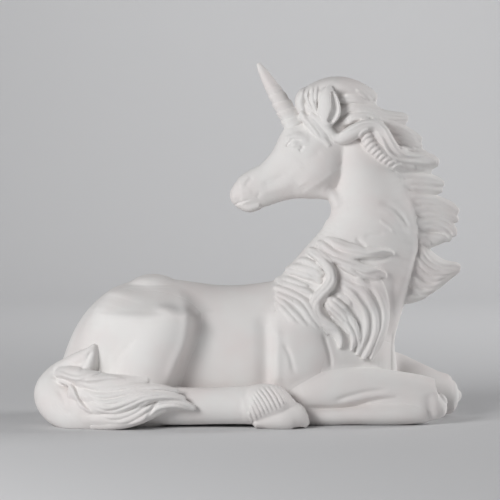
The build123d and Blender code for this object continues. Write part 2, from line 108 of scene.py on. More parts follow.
class Limb:
    """Ovals along a curve, with how softly it melts into its neighbours, in millimetres."""

    THINNEST = 0.3
    BOX_MARGIN = 1.5
    NEAR_MARGIN = 2.0
    CAP_SHARE = 0.6
    OUTER_SHARE = 0.5

    def __init__(self, stations, blend=2.0, carve=None, mirror=False, cut=False, steps=4):
        rows = np.array(stations, float)
        places = np.array([spot(a, d, y) for a, d, _, y, _ in rows])
        if mirror:
            places[:, 1] *= -1
        data = np.column_stack([places, rows[:, 2] * MM_PER_PIXEL, rows[:, 4]])
        self.rail = self.smooth(data, steps)
        self.blend, self.carve, self.cut = blend, carve, cut
        self.aim_frames()
        reach = self.rail[:, 3:].max(1, keepdims=True) + blend + self.BOX_MARGIN
        self.low = (self.rail[:, :3] - reach).min(0)
        self.high = (self.rail[:, :3] + reach).max(0)

    @staticmethod
    def smooth(data, steps):
        """A curve through every station, steps pieces to a span."""
        ends = np.vstack([2 * data[0] - data[1], data, 2 * data[-1] - data[-2]])
        rows = []
        for i in range(len(data) - 1):
            a, b, c, d = ends[i : i + 4]
            for t in np.arange(steps) / steps:
                bend = (2 * a - 5 * b + 4 * c - d) * t**2 + (3 * b - a - 3 * c + d) * t**3
                rows.append((2 * b + (c - a) * t + bend) / 2)
        rows = np.array(rows + [data[-1]])
        rows[:, 3:] = np.maximum(rows[:, 3:], Limb.THINNEST)
        return rows

    def aim_frames(self):
        """Along, side and up directions that turn as little as they can."""
        along = np.gradient(self.rail[:, :3], axis=0)
        along /= np.linalg.norm(along, axis=1, keepdims=True)
        side = np.array([0.0, 1.0, 0.0])
        sides = []
        for way in along:
            side = side - way * (side @ way)
            side /= np.linalg.norm(side)
            sides.append(side)
        self.along, self.side = along, np.array(sides)
        self.up = np.cross(along, self.side)

    def field(self, x, y, z):
        """Distances from this limb's surface at the points of an open grid, negative inside."""
        shape = (x.size, y.size, z.size)
        x3, y3, z3 = x[:, None, None], y[None, :, None], z[None, None, :]
        best = np.full(shape, FAR_AWAY, np.float32)
        where = np.zeros(shape, np.float32)
        centres = self.rail[:, :3]
        for i in range(len(centres) - 1):
            a = centres[i]
            way = centres[i + 1] - a
            length2 = way @ way
            reach = (x3 - a[0]) * way[0] + (y3 - a[1]) * way[1] + (z3 - a[2]) * way[2]
            t = np.clip(reach / length2, 0, 1).astype(np.float32)
            away = (x3 - a[0]) ** 2 + (y3 - a[1]) ** 2 + (z3 - a[2]) ** 2 - t * (2 * reach - t * length2)
            nearer = away < best
            best = np.where(nearer, away, best)
            where = np.where(nearer, i + t, where)
        widest = self.rail[:, 3:].max()
        result = np.sqrt(np.maximum(best, 0)) - self.OUTER_SHARE * widest
        near = best < (widest + self.blend + self.NEAR_MARGIN) ** 2
        i3, j3, k3 = np.nonzero(near)
        point = np.column_stack([x[i3], y[j3], z[k3]])
        result[near] = self.near_field(point, where[near])
        return result.astype(np.float32)

    def near_field(self, point, where):
        """The same for listed points, given how many stations along each one's nearest place is."""
        last = len(self.rail) - 1
        i = np.minimum(where.astype(int), last - 1)
        t = (where - i)[:, None]

        def mix(table):
            return table[i] + (table[i + 1] - table[i]) * t

        row = mix(self.rail)
        off = point - row[:, :3]
        u = (off * mix(self.up)).sum(1)
        v = (off * mix(self.side)).sum(1)
        w = (off * mix(self.along)).sum(1)
        half, wide = row[:, 3], row[:, 4]
        cap = self.CAP_SHARE * np.minimum(half, wide)
        w = np.where((where <= 0) | (where >= last), w, 0)
        k = np.sqrt((u / half) ** 2 + (v / wide) ** 2 + (w / cap) ** 2)
        slope = np.sqrt((u / half**2) ** 2 + (v / wide**2) ** 2 + (w / cap**2) ** 2)
        inner = -np.minimum(half, wide)
        steep = np.maximum(slope, FLAT_SLOPE)
        distance = np.where(slope > FLAT_SLOPE, k * (k - 1) / steep, inner)
        distance = np.maximum(distance, inner)
        if self.carve is not None:
            distance = distance + self.carve(np.arctan2(v / wide, u / half), where / last, half)
        return distance


class Trunk(Limb):
    """Ovals that all face one way, like slices of a loaf, for the wide masses."""

    END_DEPTH = 3.5
    LEAST_STEEP = 1e-3

    def __init__(self, stations, facing, **settings):
        self.facing = np.array(facing, float)
        super().__init__(stations, **settings)

    def aim_frames(self):
        self.side = np.array([0.0, 1.0, 0.0])
        self.up = np.cross(self.facing, self.side)

    def field(self, x, y, z):
        axis = int(np.argmax(np.abs(self.facing)))
        line = (x, y, z)[axis]
        reach = line * self.facing[axis]
        order = self.rail[:, axis] * self.facing[axis]
        shape = [1, 1, 1]
        shape[axis] = line.size
        columns = self.rail.T
        row = [np.interp(reach, order, column).reshape(shape).astype(np.float32) for column in columns]
        slope = [np.gradient(v.ravel(), reach).reshape(shape).astype(np.float32) for v in row]
        other = 2 - axis
        points = [np.float32(v) for v in (x[:, None, None], y[None, :, None], z[None, None, :])]
        u, v = points[other] - row[other], points[1] - row[1]
        half, wide = row[3], row[4]
        beyond = np.maximum(order[0] - reach, reach - order[-1]).clip(0).reshape(shape).astype(np.float32)
        end = self.END_DEPTH
        k = np.sqrt((u / half) ** 2 + (v / wide) ** 2 + (beyond / end) ** 2) + 1e-6
        drift = (u / half**2) * slope[other] + (v / wide**2) * slope[1]
        drift = drift + (u**2 / half**3) * slope[3] + (v**2 / wide**3) * slope[4] - beyond / end**2
        level = np.sqrt((u / half**2) ** 2 + (v / wide**2) ** 2 + (beyond / end**2) ** 2)
        steep = np.hypot(level, np.clip(drift, -level, level)) / k
        return np.maximum((k - 1) / np.maximum(steep, self.LEAST_STEEP), -np.minimum(half, wide))


def pair(stations, **settings):
    """A limb on the near side and its mirror image on the far side."""
    return [Limb(stations, **settings), Limb(stations, mirror=True, **settings)]


FORWARD = (1, 0, 0)
DOWN = (0, 0, -1)
print("limbs ready")

# %% [markdown]
# ## The horn's rings
#
# The rings are one shallow spiral, deep at the base and gone at the tip. Turning the horn on a lathe and
# adding a screw would need a second mesh cut from it. Here the horn's oval simply shrinks along a saw
# tooth that winds round it: each step rises slowly and falls back sharply, as a modeller's knife leaves it.

# %% Rings round the horn
HORN_RING_COUNT = 7.35
HORN_RING_DEPTH = 0.8
HORN_RING_RISE = 1.15
HORN_RING_FALL = 8.0
HORN_RING_BASE = 1.8
HORN_RING_FADE = 2.4
HORN_RING_TIP = 0.1


def rings(angle, share, half):
    """The horn's shallow spiral, deep at the base and gone at the tip."""
    turn = share * HORN_RING_COUNT - angle / (2 * math.pi)
    saw = turn - np.floor(turn)
    step = np.minimum(saw * HORN_RING_RISE, (1 - saw) * HORN_RING_FALL)
    depth = np.clip(HORN_RING_BASE - HORN_RING_FADE * share, HORN_RING_TIP, 1.0)
    return -HORN_RING_DEPTH * (step - 0.5) * depth


print("rings ready")

# %% [markdown]
# ## The body, neck and legs
#
# These are the big castings. Their stations follow the same traced outline as the frame's solids, with
# more ovals where muscle shows: the thigh, the stifle, the elbow and the knees. A wide blend, 5 to 9 mm,
# gives the soft valleys that plaster moulds and sponging leave.

# %% Body and neck
BODY = (
    (62, 393, 31, 0, 9.3), (68, 386, 41, 0, 15.5), (76, 377, 50, 0, 21.0), (88, 369, 59.5, 0, 26.0),
    (105, 361, 67.5, 0, 29.1), (125, 356, 73, 0, 30.4), (150, 354, 75.5, 0, 31.0),
    (180, 354.7, 74.9, 0, 30.4), (215, 356.4, 72, 0, 30.0), (245, 356.8, 72.4, 0, 30.4),
    (275, 354.6, 73.8, 0, 30.6), (305, 354, 73, 0, 29.8), (335, 355, 70, 0, 27.3),
    (360, 358, 64, 0, 23.0), (378, 364, 52, 0, 17.4), (390, 372, 34, 0, 9.9),
)
NECK = (
    (312, 350, 54, 0, 22.0), (334, 312, 64, 0, 22.9), (352, 280, 58, 0, 22.0), (366, 252, 51, 0, 20.0),
    (373, 228, 47, 0, 18.3), (373.5, 208, 42.5, 0, 17.2), (370, 189, 37, 0, 15.8),
    (364, 171, 30, 0, 15.0), (356, 154, 22, 0, 13.2), (349, 139, 14, 0, 10.0),
)
THROAT = (
    (316, 187, 8.0, 0, 7.0), (325, 190.6, 8.0, 0, 7.6), (333, 194.5, 7.8, 0, 8.6),
    (339, 203, 8.4, 0, 10.0),
)


def skin_depth(across, down):
    """How far from the middle plane the neck's or body's side lies at a pixel of the traced view."""
    deepest = 0.0
    for stations in (BODY, NECK):
        for (x, y, half, _, wide), (next_x, next_y, next_half, _, next_wide) in zip(stations, stations[1:]):
            run_x, run_y = next_x - x, next_y - y
            t = ((across - x) * run_x + (down - y) * run_y) / (run_x**2 + run_y**2)
            t = min(max(t, 0), 1)
            off = math.hypot(across - x - t * run_x, down - y - t * run_y) / (half + t * (next_half - half))
            if off < 1:
                deepest = max(deepest, (wide + t * (next_wide - wide)) * math.sqrt(1 - off**2))
    return deepest


def on_skin(stations):
    """Stations whose fourth value is how far they rise from the near skin, as true depths."""
    return [(a, d, half, -skin_depth(a, d) - rise, wide) for a, d, half, rise, wide in stations]


forms = {}
forms["body"] = [Trunk(BODY, FORWARD, blend=5.0)]
forms["neck_shell"] = [Limb(NECK, blend=5.0), Limb(THROAT, blend=3.0)]
print("skin depth at the withers", round(skin_depth(300, 290), 1), "mm")

# %% Haunches and shoulders
HAUNCH = (
    (152, 286, 12, -6.0, 5.0), (152, 293, 24, -11.0, 8.5), (152, 301, 34, -16.5, 11.5),
    (152, 309, 41, -21.3, 14.2), (152, 317, 45, -25.0, 16.3), (152, 337, 44, -26.4, 16.4),
    (150, 358, 38, -26.6, 16.2), (148, 380, 32, -26.3, 15.4), (146, 402, 28, -26.0, 14.3),
    (144, 424, 24, -25.0, 13.0),
)
RUMP = (
    (128, 308, 22, -14.0, 11.0), (118, 328, 28, -18.5, 14.0), (114, 350, 30, -20.0, 14.0),
    (114, 372, 28, -20.0, 13.0),
)
STIFLE = (
    (172, 318, 15, -35.0, 7.0), (162, 338, 20, -36.5, 8.0), (151, 358, 23, -37.0, 8.5),
    (141, 376, 26, -37.0, 8.5), (134, 394, 26, -36.0, 8.0),
)
SHOULDER = (
    (306, 290, 14, -11.0, 4.5), (305, 299, 22, -15.8, 6.8), (302, 312, 27, -21.0, 9.0),
    (299, 332, 29, -22.9, 10.0), (299, 352, 30, -23.3, 10.0), (296, 372, 27, -23.3, 9.0),
    (290, 392, 20, -22.9, 7.0),
)
for side, mirrored in (("near", False), ("far", True)):
    forms[f"{side}_haunch"] = [
        Trunk(HAUNCH, DOWN, blend=8.0, mirror=mirrored),
        Limb(RUMP, blend=9.0, mirror=mirrored),
        Limb(STIFLE, blend=7.0, mirror=mirrored),
    ]
    forms[f"{side}_shoulder"] = [Trunk(SHOULDER, DOWN, blend=5.0, mirror=mirrored)]
print("haunches and shoulders ready")

# %% Legs
NEAR_FOREARM = (
    (286, 404, 13, -22.0, 7.4), (302, 397.5, 18.5, -24.0, 9.7), (322, 392, 21, -24.0, 10.5),
    (346, 389, 21, -24.0, 10.5), (370, 388, 19.5, -24.0, 10.1), (394, 390, 19.0, -24.0, 9.7),
    (412, 394.5, 20.8, -24.0, 9.8), (425, 399, 22.0, -24.0, 9.8), (433, 401, 20.3, -24.0, 9.0),
    (438, 401.5, 16.8, -24.0, 7.8), (441, 400.5, 12.2, -24.0, 6.0), (442.6, 399.5, 6.5, -24.0, 3.8),
)
FAR_FOREARM = (
    (352, 362, 16, 10.4, 9.5), (372, 366, 20, 11.7, 10.5), (392, 373, 21.5, 13.0, 10.5),
    (412, 381, 20.5, 13.0, 10.1), (430, 389.5, 20.5, 13.0, 10.0), (442, 394, 21, 13.0, 9.8),
    (449.5, 395.5, 18.8, 13.0, 9.0), (454, 395.5, 15.2, 13.0, 7.8), (456.8, 395.5, 10.8, 13.0, 6.0),
    (458.2, 395.5, 5.6, 13.0, 3.6),
)
NEAR_FORE_CANNON = (
    (268, 416.5, 9, -22.0, 7.7), (292, 416, 9.5, -24.0, 8.1), (320, 416, 9.8, -25.9, 8.5),
    (350, 414.5, 9.8, -26.4, 8.5), (380, 413, 12, -26.4, 8.9), (404, 412, 12.5, -25.9, 9.4),
    (424, 411.5, 11, -25.0, 8.5),
)
FAR_FORE_CANNON = (
    (300, 408, 9, 18.2, 7.7), (324, 407.5, 9.5, 18.9, 8.1), (352, 407, 9.8, 19.5, 8.5),
    (382, 406, 11, 18.9, 8.9), (412, 406, 12, 16.9, 9.4), (436, 406, 11, 15.0, 8.5),
)
HIND_CANNON = (
    (112, 407, 12, -32.4, 8.0), (135, 406, 18, -33.8, 9.8), (165, 406, 18.5, -35.3, 10.0),
    (195, 406, 18, -36.0, 9.6), (225, 405.5, 18, -36.7, 9.6), (250, 405, 18.5, -37.8, 10.0),
    (264, 405, 18, -38.2, 9.6),
)
FEATHER = (
    (247, 407, 16, -38.5, 10.4), (254, 405.5, 19.5, -38.5, 11.6), (265, 404, 20, -39.3, 11.8),
    (276, 403, 17.5, -40.0, 11.4), (285, 404, 12.5, -40.0, 10.2), (291, 405, 7, -40.0, 7.6),
)
HOOF = (
    (256, 422, 6, -38.5, 8.6), (266, 419, 10.5, -38.5, 10.2), (277, 417, 13.5, -39.3, 10.9),
    (287, 416, 14.5, -40.0, 10.9), (295, 416.5, 13.5, -40.0, 9.8), (301, 419.5, 9.5, -40.0, 8.2),
    (306, 423.5, 4.5, -40.0, 5.6),
)
KNEE_BLEND = 3.0
CANNON_BLEND = 2.0
HOOF_BLEND = 1.2
forms["near_forearm"] = [Limb(NEAR_FOREARM, blend=KNEE_BLEND)]
forms["far_forearm"] = [Limb(FAR_FOREARM, blend=KNEE_BLEND)]
forms["near_fore_cannon"] = [Limb(NEAR_FORE_CANNON, blend=CANNON_BLEND)]
forms["far_fore_cannon"] = [Limb(FAR_FORE_CANNON, blend=CANNON_BLEND)]
for side, mirrored in (("near", False), ("far", True)):
    forms[f"{side}_hind_cannon"] = [Limb(HIND_CANNON, blend=KNEE_BLEND, mirror=mirrored)]
    forms[f"{side}_hind_hoof"] = [Limb(HOOF, blend=HOOF_BLEND, mirror=mirrored)]
    forms[f"{side}_hind_feather"] = [Limb(FEATHER, blend=HOOF_BLEND, mirror=mirrored)]
print("legs ready")

# %% [markdown]
# ## The head
#
# The head is one long row of ovals from the lips to the poll. Small ovals on it then do what a modeller's
# thumb does: the round cheek and jaw, the brow, the lips and the eyeball under its lids.

# %% Head, horn and ears
HEAD = (
    (235.5, 197, 7, 0, 4.2), (239, 195.8, 11.5, 0, 6.0), (244, 194.5, 16.5, 0, 7.4),
    (257, 189.5, 19, 0, 7.6), (272.5, 182, 21.5, 0, 8.4), (286, 174.5, 27, 0, 10.3),
    (299, 166.5, 35.5, 0, 12.4), (312, 157, 40, 0, 13.5), (323, 147, 34, 0, 13.0),
    (333, 137, 27, 0, 11.0), (341, 128, 18, 0, 7.6),
)
JAW = ((304, 180, 15.5, 0, 8.0), (315, 184, 13.6, 0, 8.6), (323, 186.5, 10.6, 0, 8.6))
CHEEK = ((309, 161, 16, -8.2, 4.2), (318, 169, 20, -8.6, 4.8), (323, 176, 17, -8.0, 4.4))
BROW = ((290, 138.3, 2.2, -9.0, 1.5), (297, 136.6, 2.6, -9.9, 1.7), (305, 138.5, 2.0, -10.1, 1.4))
EYEBALL = ((292, 145.2, 4.2, -8.8, 2.7), (295, 144.8, 5.0, -9.1, 3.3), (298.6, 145.2, 4.4, -9.2, 3.0))
CHIN = (
    (240, 203.4, 4.2, 0, 4.6), (244.5, 206, 5.0, 0, 5.4), (250.5, 207, 5.4, 0, 5.8),
    (258, 205.2, 4.8, 0, 5.6),
)
UPPER_LIP = ((235.5, 196, 5.5, 0, 5.4), (241, 194, 6.5, 0, 6.8), (249, 192, 6.0, 0, 7.2))
MUZZLE = (
    (260, 176.5, 9.3, 0, 5.0), (251, 179.3, 8.2, 0, 5.4), (244.8, 183, 7.2, 0, 5.6),
    (240.6, 187.2, 6.9, 0, 5.4), (238, 192, 6.9, 0, 5.2), (237.2, 196.5, 6.5, 0, 5.0),
    (238, 200.2, 5.8, 0, 4.6), (241, 203, 5.2, 0, 4.4),
)
HORN_STATIONS = (
    (294, 124, 11.0), (289.6, 116.5, 10.1), (285.1, 109.1, 9.5), (280.7, 101.6, 8.9), (276.3, 94.2, 8.1),
    (271.8, 86.8, 7.1), (267.4, 79.3, 5.9), (263, 71.8, 4.6), (258.6, 64.4, 2.4),
)
EAR = (
    (326.5, 125, 4.5, -10.0, 3.2), (328, 120, 7.8, -11.4, 3.8), (329, 115.5, 10.4, -12.2, 4.0),
    (329.2, 109, 11.4, -12.8, 4.2), (328.4, 99, 9.8, -13.0, 3.8), (328.6, 92, 6.6, -12.4, 2.8),
    (330, 86.5, 2.4, -11.6, 1.4),
)
EAR_SCOOP = (
    (330.5, 121.5, 3.6, -15.6, 3.0), (333.3, 116, 4.5, -16.6, 3.6), (335.3, 109, 4.3, -17.0, 3.8),
    (334, 99.5, 3.3, -16.8, 3.5), (332, 92, 1.6, -15.4, 2.4),
)

forms["head"] = (
    [Limb(HEAD, blend=2.0), Limb(MUZZLE, blend=2.0), Limb(CHIN, blend=1.5), Limb(UPPER_LIP, blend=1.5)]
    + [Limb(JAW, blend=4.0)]
    + pair(CHEEK, blend=5.0)
    + pair(BROW, blend=3.0)
    + pair(EYEBALL, blend=0.8)
)
horn_stations = [(a, d, half, 0, half * MM_PER_PIXEL) for a, d, half in HORN_STATIONS]
forms["horn"] = [Limb(horn_stations, blend=0.8, carve=rings, steps=5)]
for side, mirrored in (("near", False), ("far", True)):
    forms[f"{side}_ear"] = [
        Limb(EAR, blend=0.6, mirror=mirrored),
        Limb(EAR_SCOOP, blend=0.6, mirror=mirrored, cut=True),
    ]
print("head ready")

# %% [markdown]
# ## The mane, forelock, tail and shoulder hair
#
# The mane is one scalloped sheet blown back from the crest. Each node of it is two to four locks that
# start deep in the crest and thin out to a blunt tip. The tail's locks fan out from its dock. Each row of
# stations is one lock. The hair on a shoulder lies on the skin, so there the fourth value of a station is
# how far the lock rises from it. Nothing shows the far shoulder, so its hair mirrors the near one's.

# %% Locks of hair
LOCKS = {
    "forelock": (
        ((332, 84, 6.5, 0, 9), (318, 88.5, 6.5, 0, 9.5), (307, 93.8, 6.6, 0, 9.5), (302, 102, 6.6, 0, 8.5),
         (304.5, 112, 5, 0, 7), (308, 118, 2.5, 0, 4)),
        ((332, 92, 7, -3, 9), (320, 95, 8, -3, 9.5), (312, 102, 8, -3, 9), (313, 111, 7.5, -4, 8),
         (319, 120, 5.5, -5.5, 6.5), (326, 129, 4, -7, 5)),
        ((332, 92, 7, 3, 9), (320, 95, 8, 3, 9.5), (312, 102, 8, 3, 9), (313, 111, 7.5, 4, 8),
         (319, 120, 5.5, 5.5, 6.5), (326, 129, 4, 7, 5)),
        ((320, 91, 7, 0, 8.5), (311.5, 97, 7, 0, 9.2), (308.5, 105, 6, 0, 8.4), (311, 113, 4.5, 0, 7)),
    ),
    "brow_lock": (
        ((302, 116, 4.0, -6.0, 3.5), (309, 122, 5.0, -8.2, 3.6), (316, 130, 5.0, -9.8, 3.4),
         (323, 138, 4.0, -10.8, 2.8), (329, 145, 2.4, -11.0, 2.2)),
        ((313, 115, 4.0, -8.0, 4), (321, 123, 5.0, -9.6, 4), (329, 131, 5.0, -10.8, 3.6),
         (336, 138, 4.0, -11.0, 3)),
    ),
    "swept_lock": (
        ((336, 138, 4.5, -10.5, 3.5), (343, 138, 6.3, -11.5, 4.6), (352.5, 132.8, 7.6, -12.4, 5.2),
         (364, 126.6, 6.4, -12.8, 5.5), (374, 125.4, 5.6, -12.4, 5.5), (382, 131, 6.2, -11.8, 5.2),
         (387.5, 140.5, 6.4, -10.8, 5), (393.5, 149.5, 6.6, -9.4, 4.6), (402, 156, 6.4, -7.2, 4),
         (413, 159.5, 6, -5, 3.2), (426, 161, 5, -3.5, 2.5), (435, 161, 2.5, -2, 1.5)),
        ((372, 130, 3.5, -11, 3.5), (378, 137, 4, -11, 4), (384, 147, 4.5, -10.2, 3.8),
         (391, 155.5, 4.5, -8.8, 3.4), (401, 162, 4.5, -6.6, 3), (412, 166, 3, -5, 2)),
    ),
    "mane_poll": (
        ((312, 91, 6, 0, 8), (325, 87.5, 9, 0, 10), (340, 86.5, 10, 0, 11), (354, 90, 10, 0, 10),
         (364.5, 95, 9.2, 0, 7.5), (370.5, 97.5, 8, 0, 5), (373.8, 99, 6, 0, 3)),
        ((331, 98, 6, 0, 7), (338, 99, 6.6, 0, 7.6), (345, 100, 6, 0, 8.5), (358, 101, 6, 0, 8),
         (368, 102, 5, 0, 5), (373, 103, 3.5, 0, 2.4)),
    ),
    "mane_crown": (
        ((336, 114, 7, 0, 7.5), (350, 108.5, 8, 0, 8.8), (366, 111, 7.5, 0, 8.6), (382, 116.4, 7.2, 0, 6.5),
         (395, 118, 6.6, 0, 4.2), (402, 118.3, 6.0, 0, 2.6), (406.4, 118.6, 4.2, 0, 1.8)),
        ((338, 126, 6, 0, 8), (352, 118.5, 6.5, -2, 9), (370, 117.5, 6.5, -2, 8.5), (385, 120.5, 6, 0, 6.5),
         (397, 121.5, 5.5, 0, 4), (403.5, 121.3, 4.6, 0, 2.2)),
    ),
    "mane_nape": (
        ((372, 124, 8, 0, 9), (386, 126, 8, 0, 7.5), (398, 130, 7, 0, 5), (410, 135, 6, 0, 3.5),
         (420, 140, 3.5, 0, 2)),
        ((376, 134, 9, 0, 9), (390, 137, 9, 0, 7), (404, 141, 7.5, 0, 4.5), (415, 144, 5, 0, 3),
         (421, 146, 2.5, 0, 1.8)),
        ((396, 146, 6, 0, 5), (408, 148.5, 5.4, 0, 3.8), (418, 151, 4.4, 0, 2.8), (425, 153, 2.6, 0, 2)),
    ),
    "mane_upper": (
        ((378, 146, 10, -2, 9.5), (394, 153, 11, -1, 8), (410, 160, 10.5, 0, 6), (424, 161.5, 10, 0, 4),
         (433, 162, 7.5, 0, 2.8), (437.5, 162.5, 4.5, 0, 1.8)),
        ((366.5, 135, 6.4, -10.2, 5.8), (370, 144, 7.2, -10.6, 6), (379.5, 152, 8.6, -9.6, 6.6),
         (390, 160.5, 8.4, -6.8, 6.8), (403, 167.5, 7, -2, 5.8), (420, 169.5, 5, 0, 3),
         (430, 171.5, 3, 0, 1.8)),
    ),
    "mane_middle": (
        ((393, 172, 9, -1, 8), (408, 177, 8.5, 0, 6), (423, 180, 8, 0, 4.3), (436, 182, 6, 0, 2.8),
         (443, 184, 3, 0, 1.6)),
        ((400, 184, 8, -1, 7.5), (415, 188, 7.5, 0, 5.5), (430, 190, 6, 0, 3.6), (441, 190, 3, 0, 1.8)),
    ),
    "mane_lower": (
        ((405, 196, 9, -1, 8), (420, 200, 9, 0, 6), (436, 204, 8.5, 0, 4.2), (449, 208, 7, 0, 2.8),
         (457, 212, 4, 0, 1.8)),
        ((409, 208, 9, -1, 7.5), (424, 212, 8.5, 0, 5.5), (440, 215, 7.5, 0, 3.8), (452, 218, 5.5, 0, 2.5),
         (457, 220, 3, 0, 1.6)),
    ),
    "mane_drape": (
        ((412, 222, 9, -1, 7.5), (427, 224, 8.5, 0, 5.2), (441, 226, 7.5, 0, 3.6), (451, 229, 5.5, 0, 2.4),
         (454, 235, 3.5, 0, 1.8)),
        ((413, 235, 10, -1, 7), (424, 239, 10.5, 0, 5.2), (434, 239, 7.6, 0, 4), (443, 237.2, 5.6, 0, 3),
         (449.5, 237.4, 4.4, 0, 2.3)),
    ),
    "mane_trailing": (
        ((418, 243, 5, 0, 6), (425, 254, 7, 0, 5), (436, 263, 7, 0, 4), (448, 267, 6, 0, 3),
         (456, 267, 5.2, 0, 2.3), (459, 267, 3.6, 0, 1.7)),
        ((413, 258, 10, 0, 7), (424, 268, 10, 0, 5.5), (438, 273, 8.5, 0, 3.8), (450, 272, 5.5, 0, 2.5),
         (458, 270, 3, 0, 1.5)),
        ((408, 275, 12, 0, 7), (420, 283, 10.5, 0, 5), (433, 283, 8, 0, 3.4), (446, 277, 5, 0, 2.2),
         (455, 272, 2.5, 0, 1.4)),
        ((402, 294, 10, 0, 7), (412, 294, 9, 0, 5), (425, 290, 6.5, 0, 3.2), (437, 284, 4, 0, 2)),
    ),
    "tail_dock": (
        ((86, 358, 9, -4, 6.6), (74, 367.5, 12, -8, 8.8), (60.5, 377.5, 15, -14.4, 10.5),
         (51.8, 391, 16.4, -22.4, 11), (57.5, 404, 16.4, -31.2, 11), (72, 411, 15, -38.4, 11),
         (90, 413, 14, -41.6, 9.9), (108, 414, 12, -42.4, 8.4), (124, 416, 8, -42.4, 5.5)),
    ),
    "tail_lock_top": (
        ((64, 374, 8, -27, 6), (72, 376, 10, -35, 6.3), (81, 379, 10.8, -40.4, 6.3),
         (94, 381, 10, -42.4, 6.3), (112, 383, 8.5, -44, 5.4), (130, 382, 6, -44.8, 4),
         (147, 380, 2.5, -44.8, 1.8)),
    ),
    "tail_lock_upper": (
        ((74, 392, 9, -40.8, 5.4), (92, 397, 9, -44.8, 5.4), (112, 396, 8, -47.2, 5),
         (136, 391, 6.5, -48, 4.5), (158, 389, 5, -48, 4), (177, 391, 2.5, -47.2, 1.8)),
    ),
    "tail_lock_middle": (
        ((82, 405, 8, -42.4, 5.4), (102, 407, 8.2, -48, 5.8), (124, 403.5, 7.2, -50, 5.4),
         (146, 397.5, 5.8, -50.8, 5), (166, 395.5, 4.4, -50, 4), (184, 398, 2.4, -48, 1.8)),
    ),
    "tail_lock_lower": (
        ((88, 417, 7.5, -44, 5.4), (108, 418, 7.4, -47.6, 5.8), (128, 414.5, 6.8, -48.4, 5.4),
         (147, 409, 5.8, -48.4, 5), (164, 405.5, 5.4, -48.2, 4.6), (180, 405, 5.0, -48.0, 3.9),
         (194, 408, 3.0, -47.4, 2.2)),
        ((149, 417, 2.4, -48, 2.6), (156, 412, 4, -48.4, 4), (165, 407.5, 5, -48.2, 4.2)),
    ),
    "tail_lock_floor": (
        ((96, 424, 6, -44, 5), (116, 423, 6.5, -48, 5.4), (134, 420, 6, -49.6, 5),
         (150, 415, 4.5, -49.6, 3.6), (160, 410, 2, -48.8, 1.8)),
    ),
    "tail_lock_flick": (
        ((62, 369, 8.5, -20, 6), (73, 364, 9, -27, 6.3), (83, 358, 8, -32, 5.8), (90, 351.5, 5, -34, 4),
         (94, 346, 2.4, -34, 1.8)),
        ((78, 374, 9, -30, 6.3), (86, 369, 9.5, -33, 6.3), (90.5, 361, 7, -34.4, 5.4),
         (93, 353, 4.2, -34.4, 3.6), (94.2, 347, 2.2, -34, 1.8)),
    ),
}
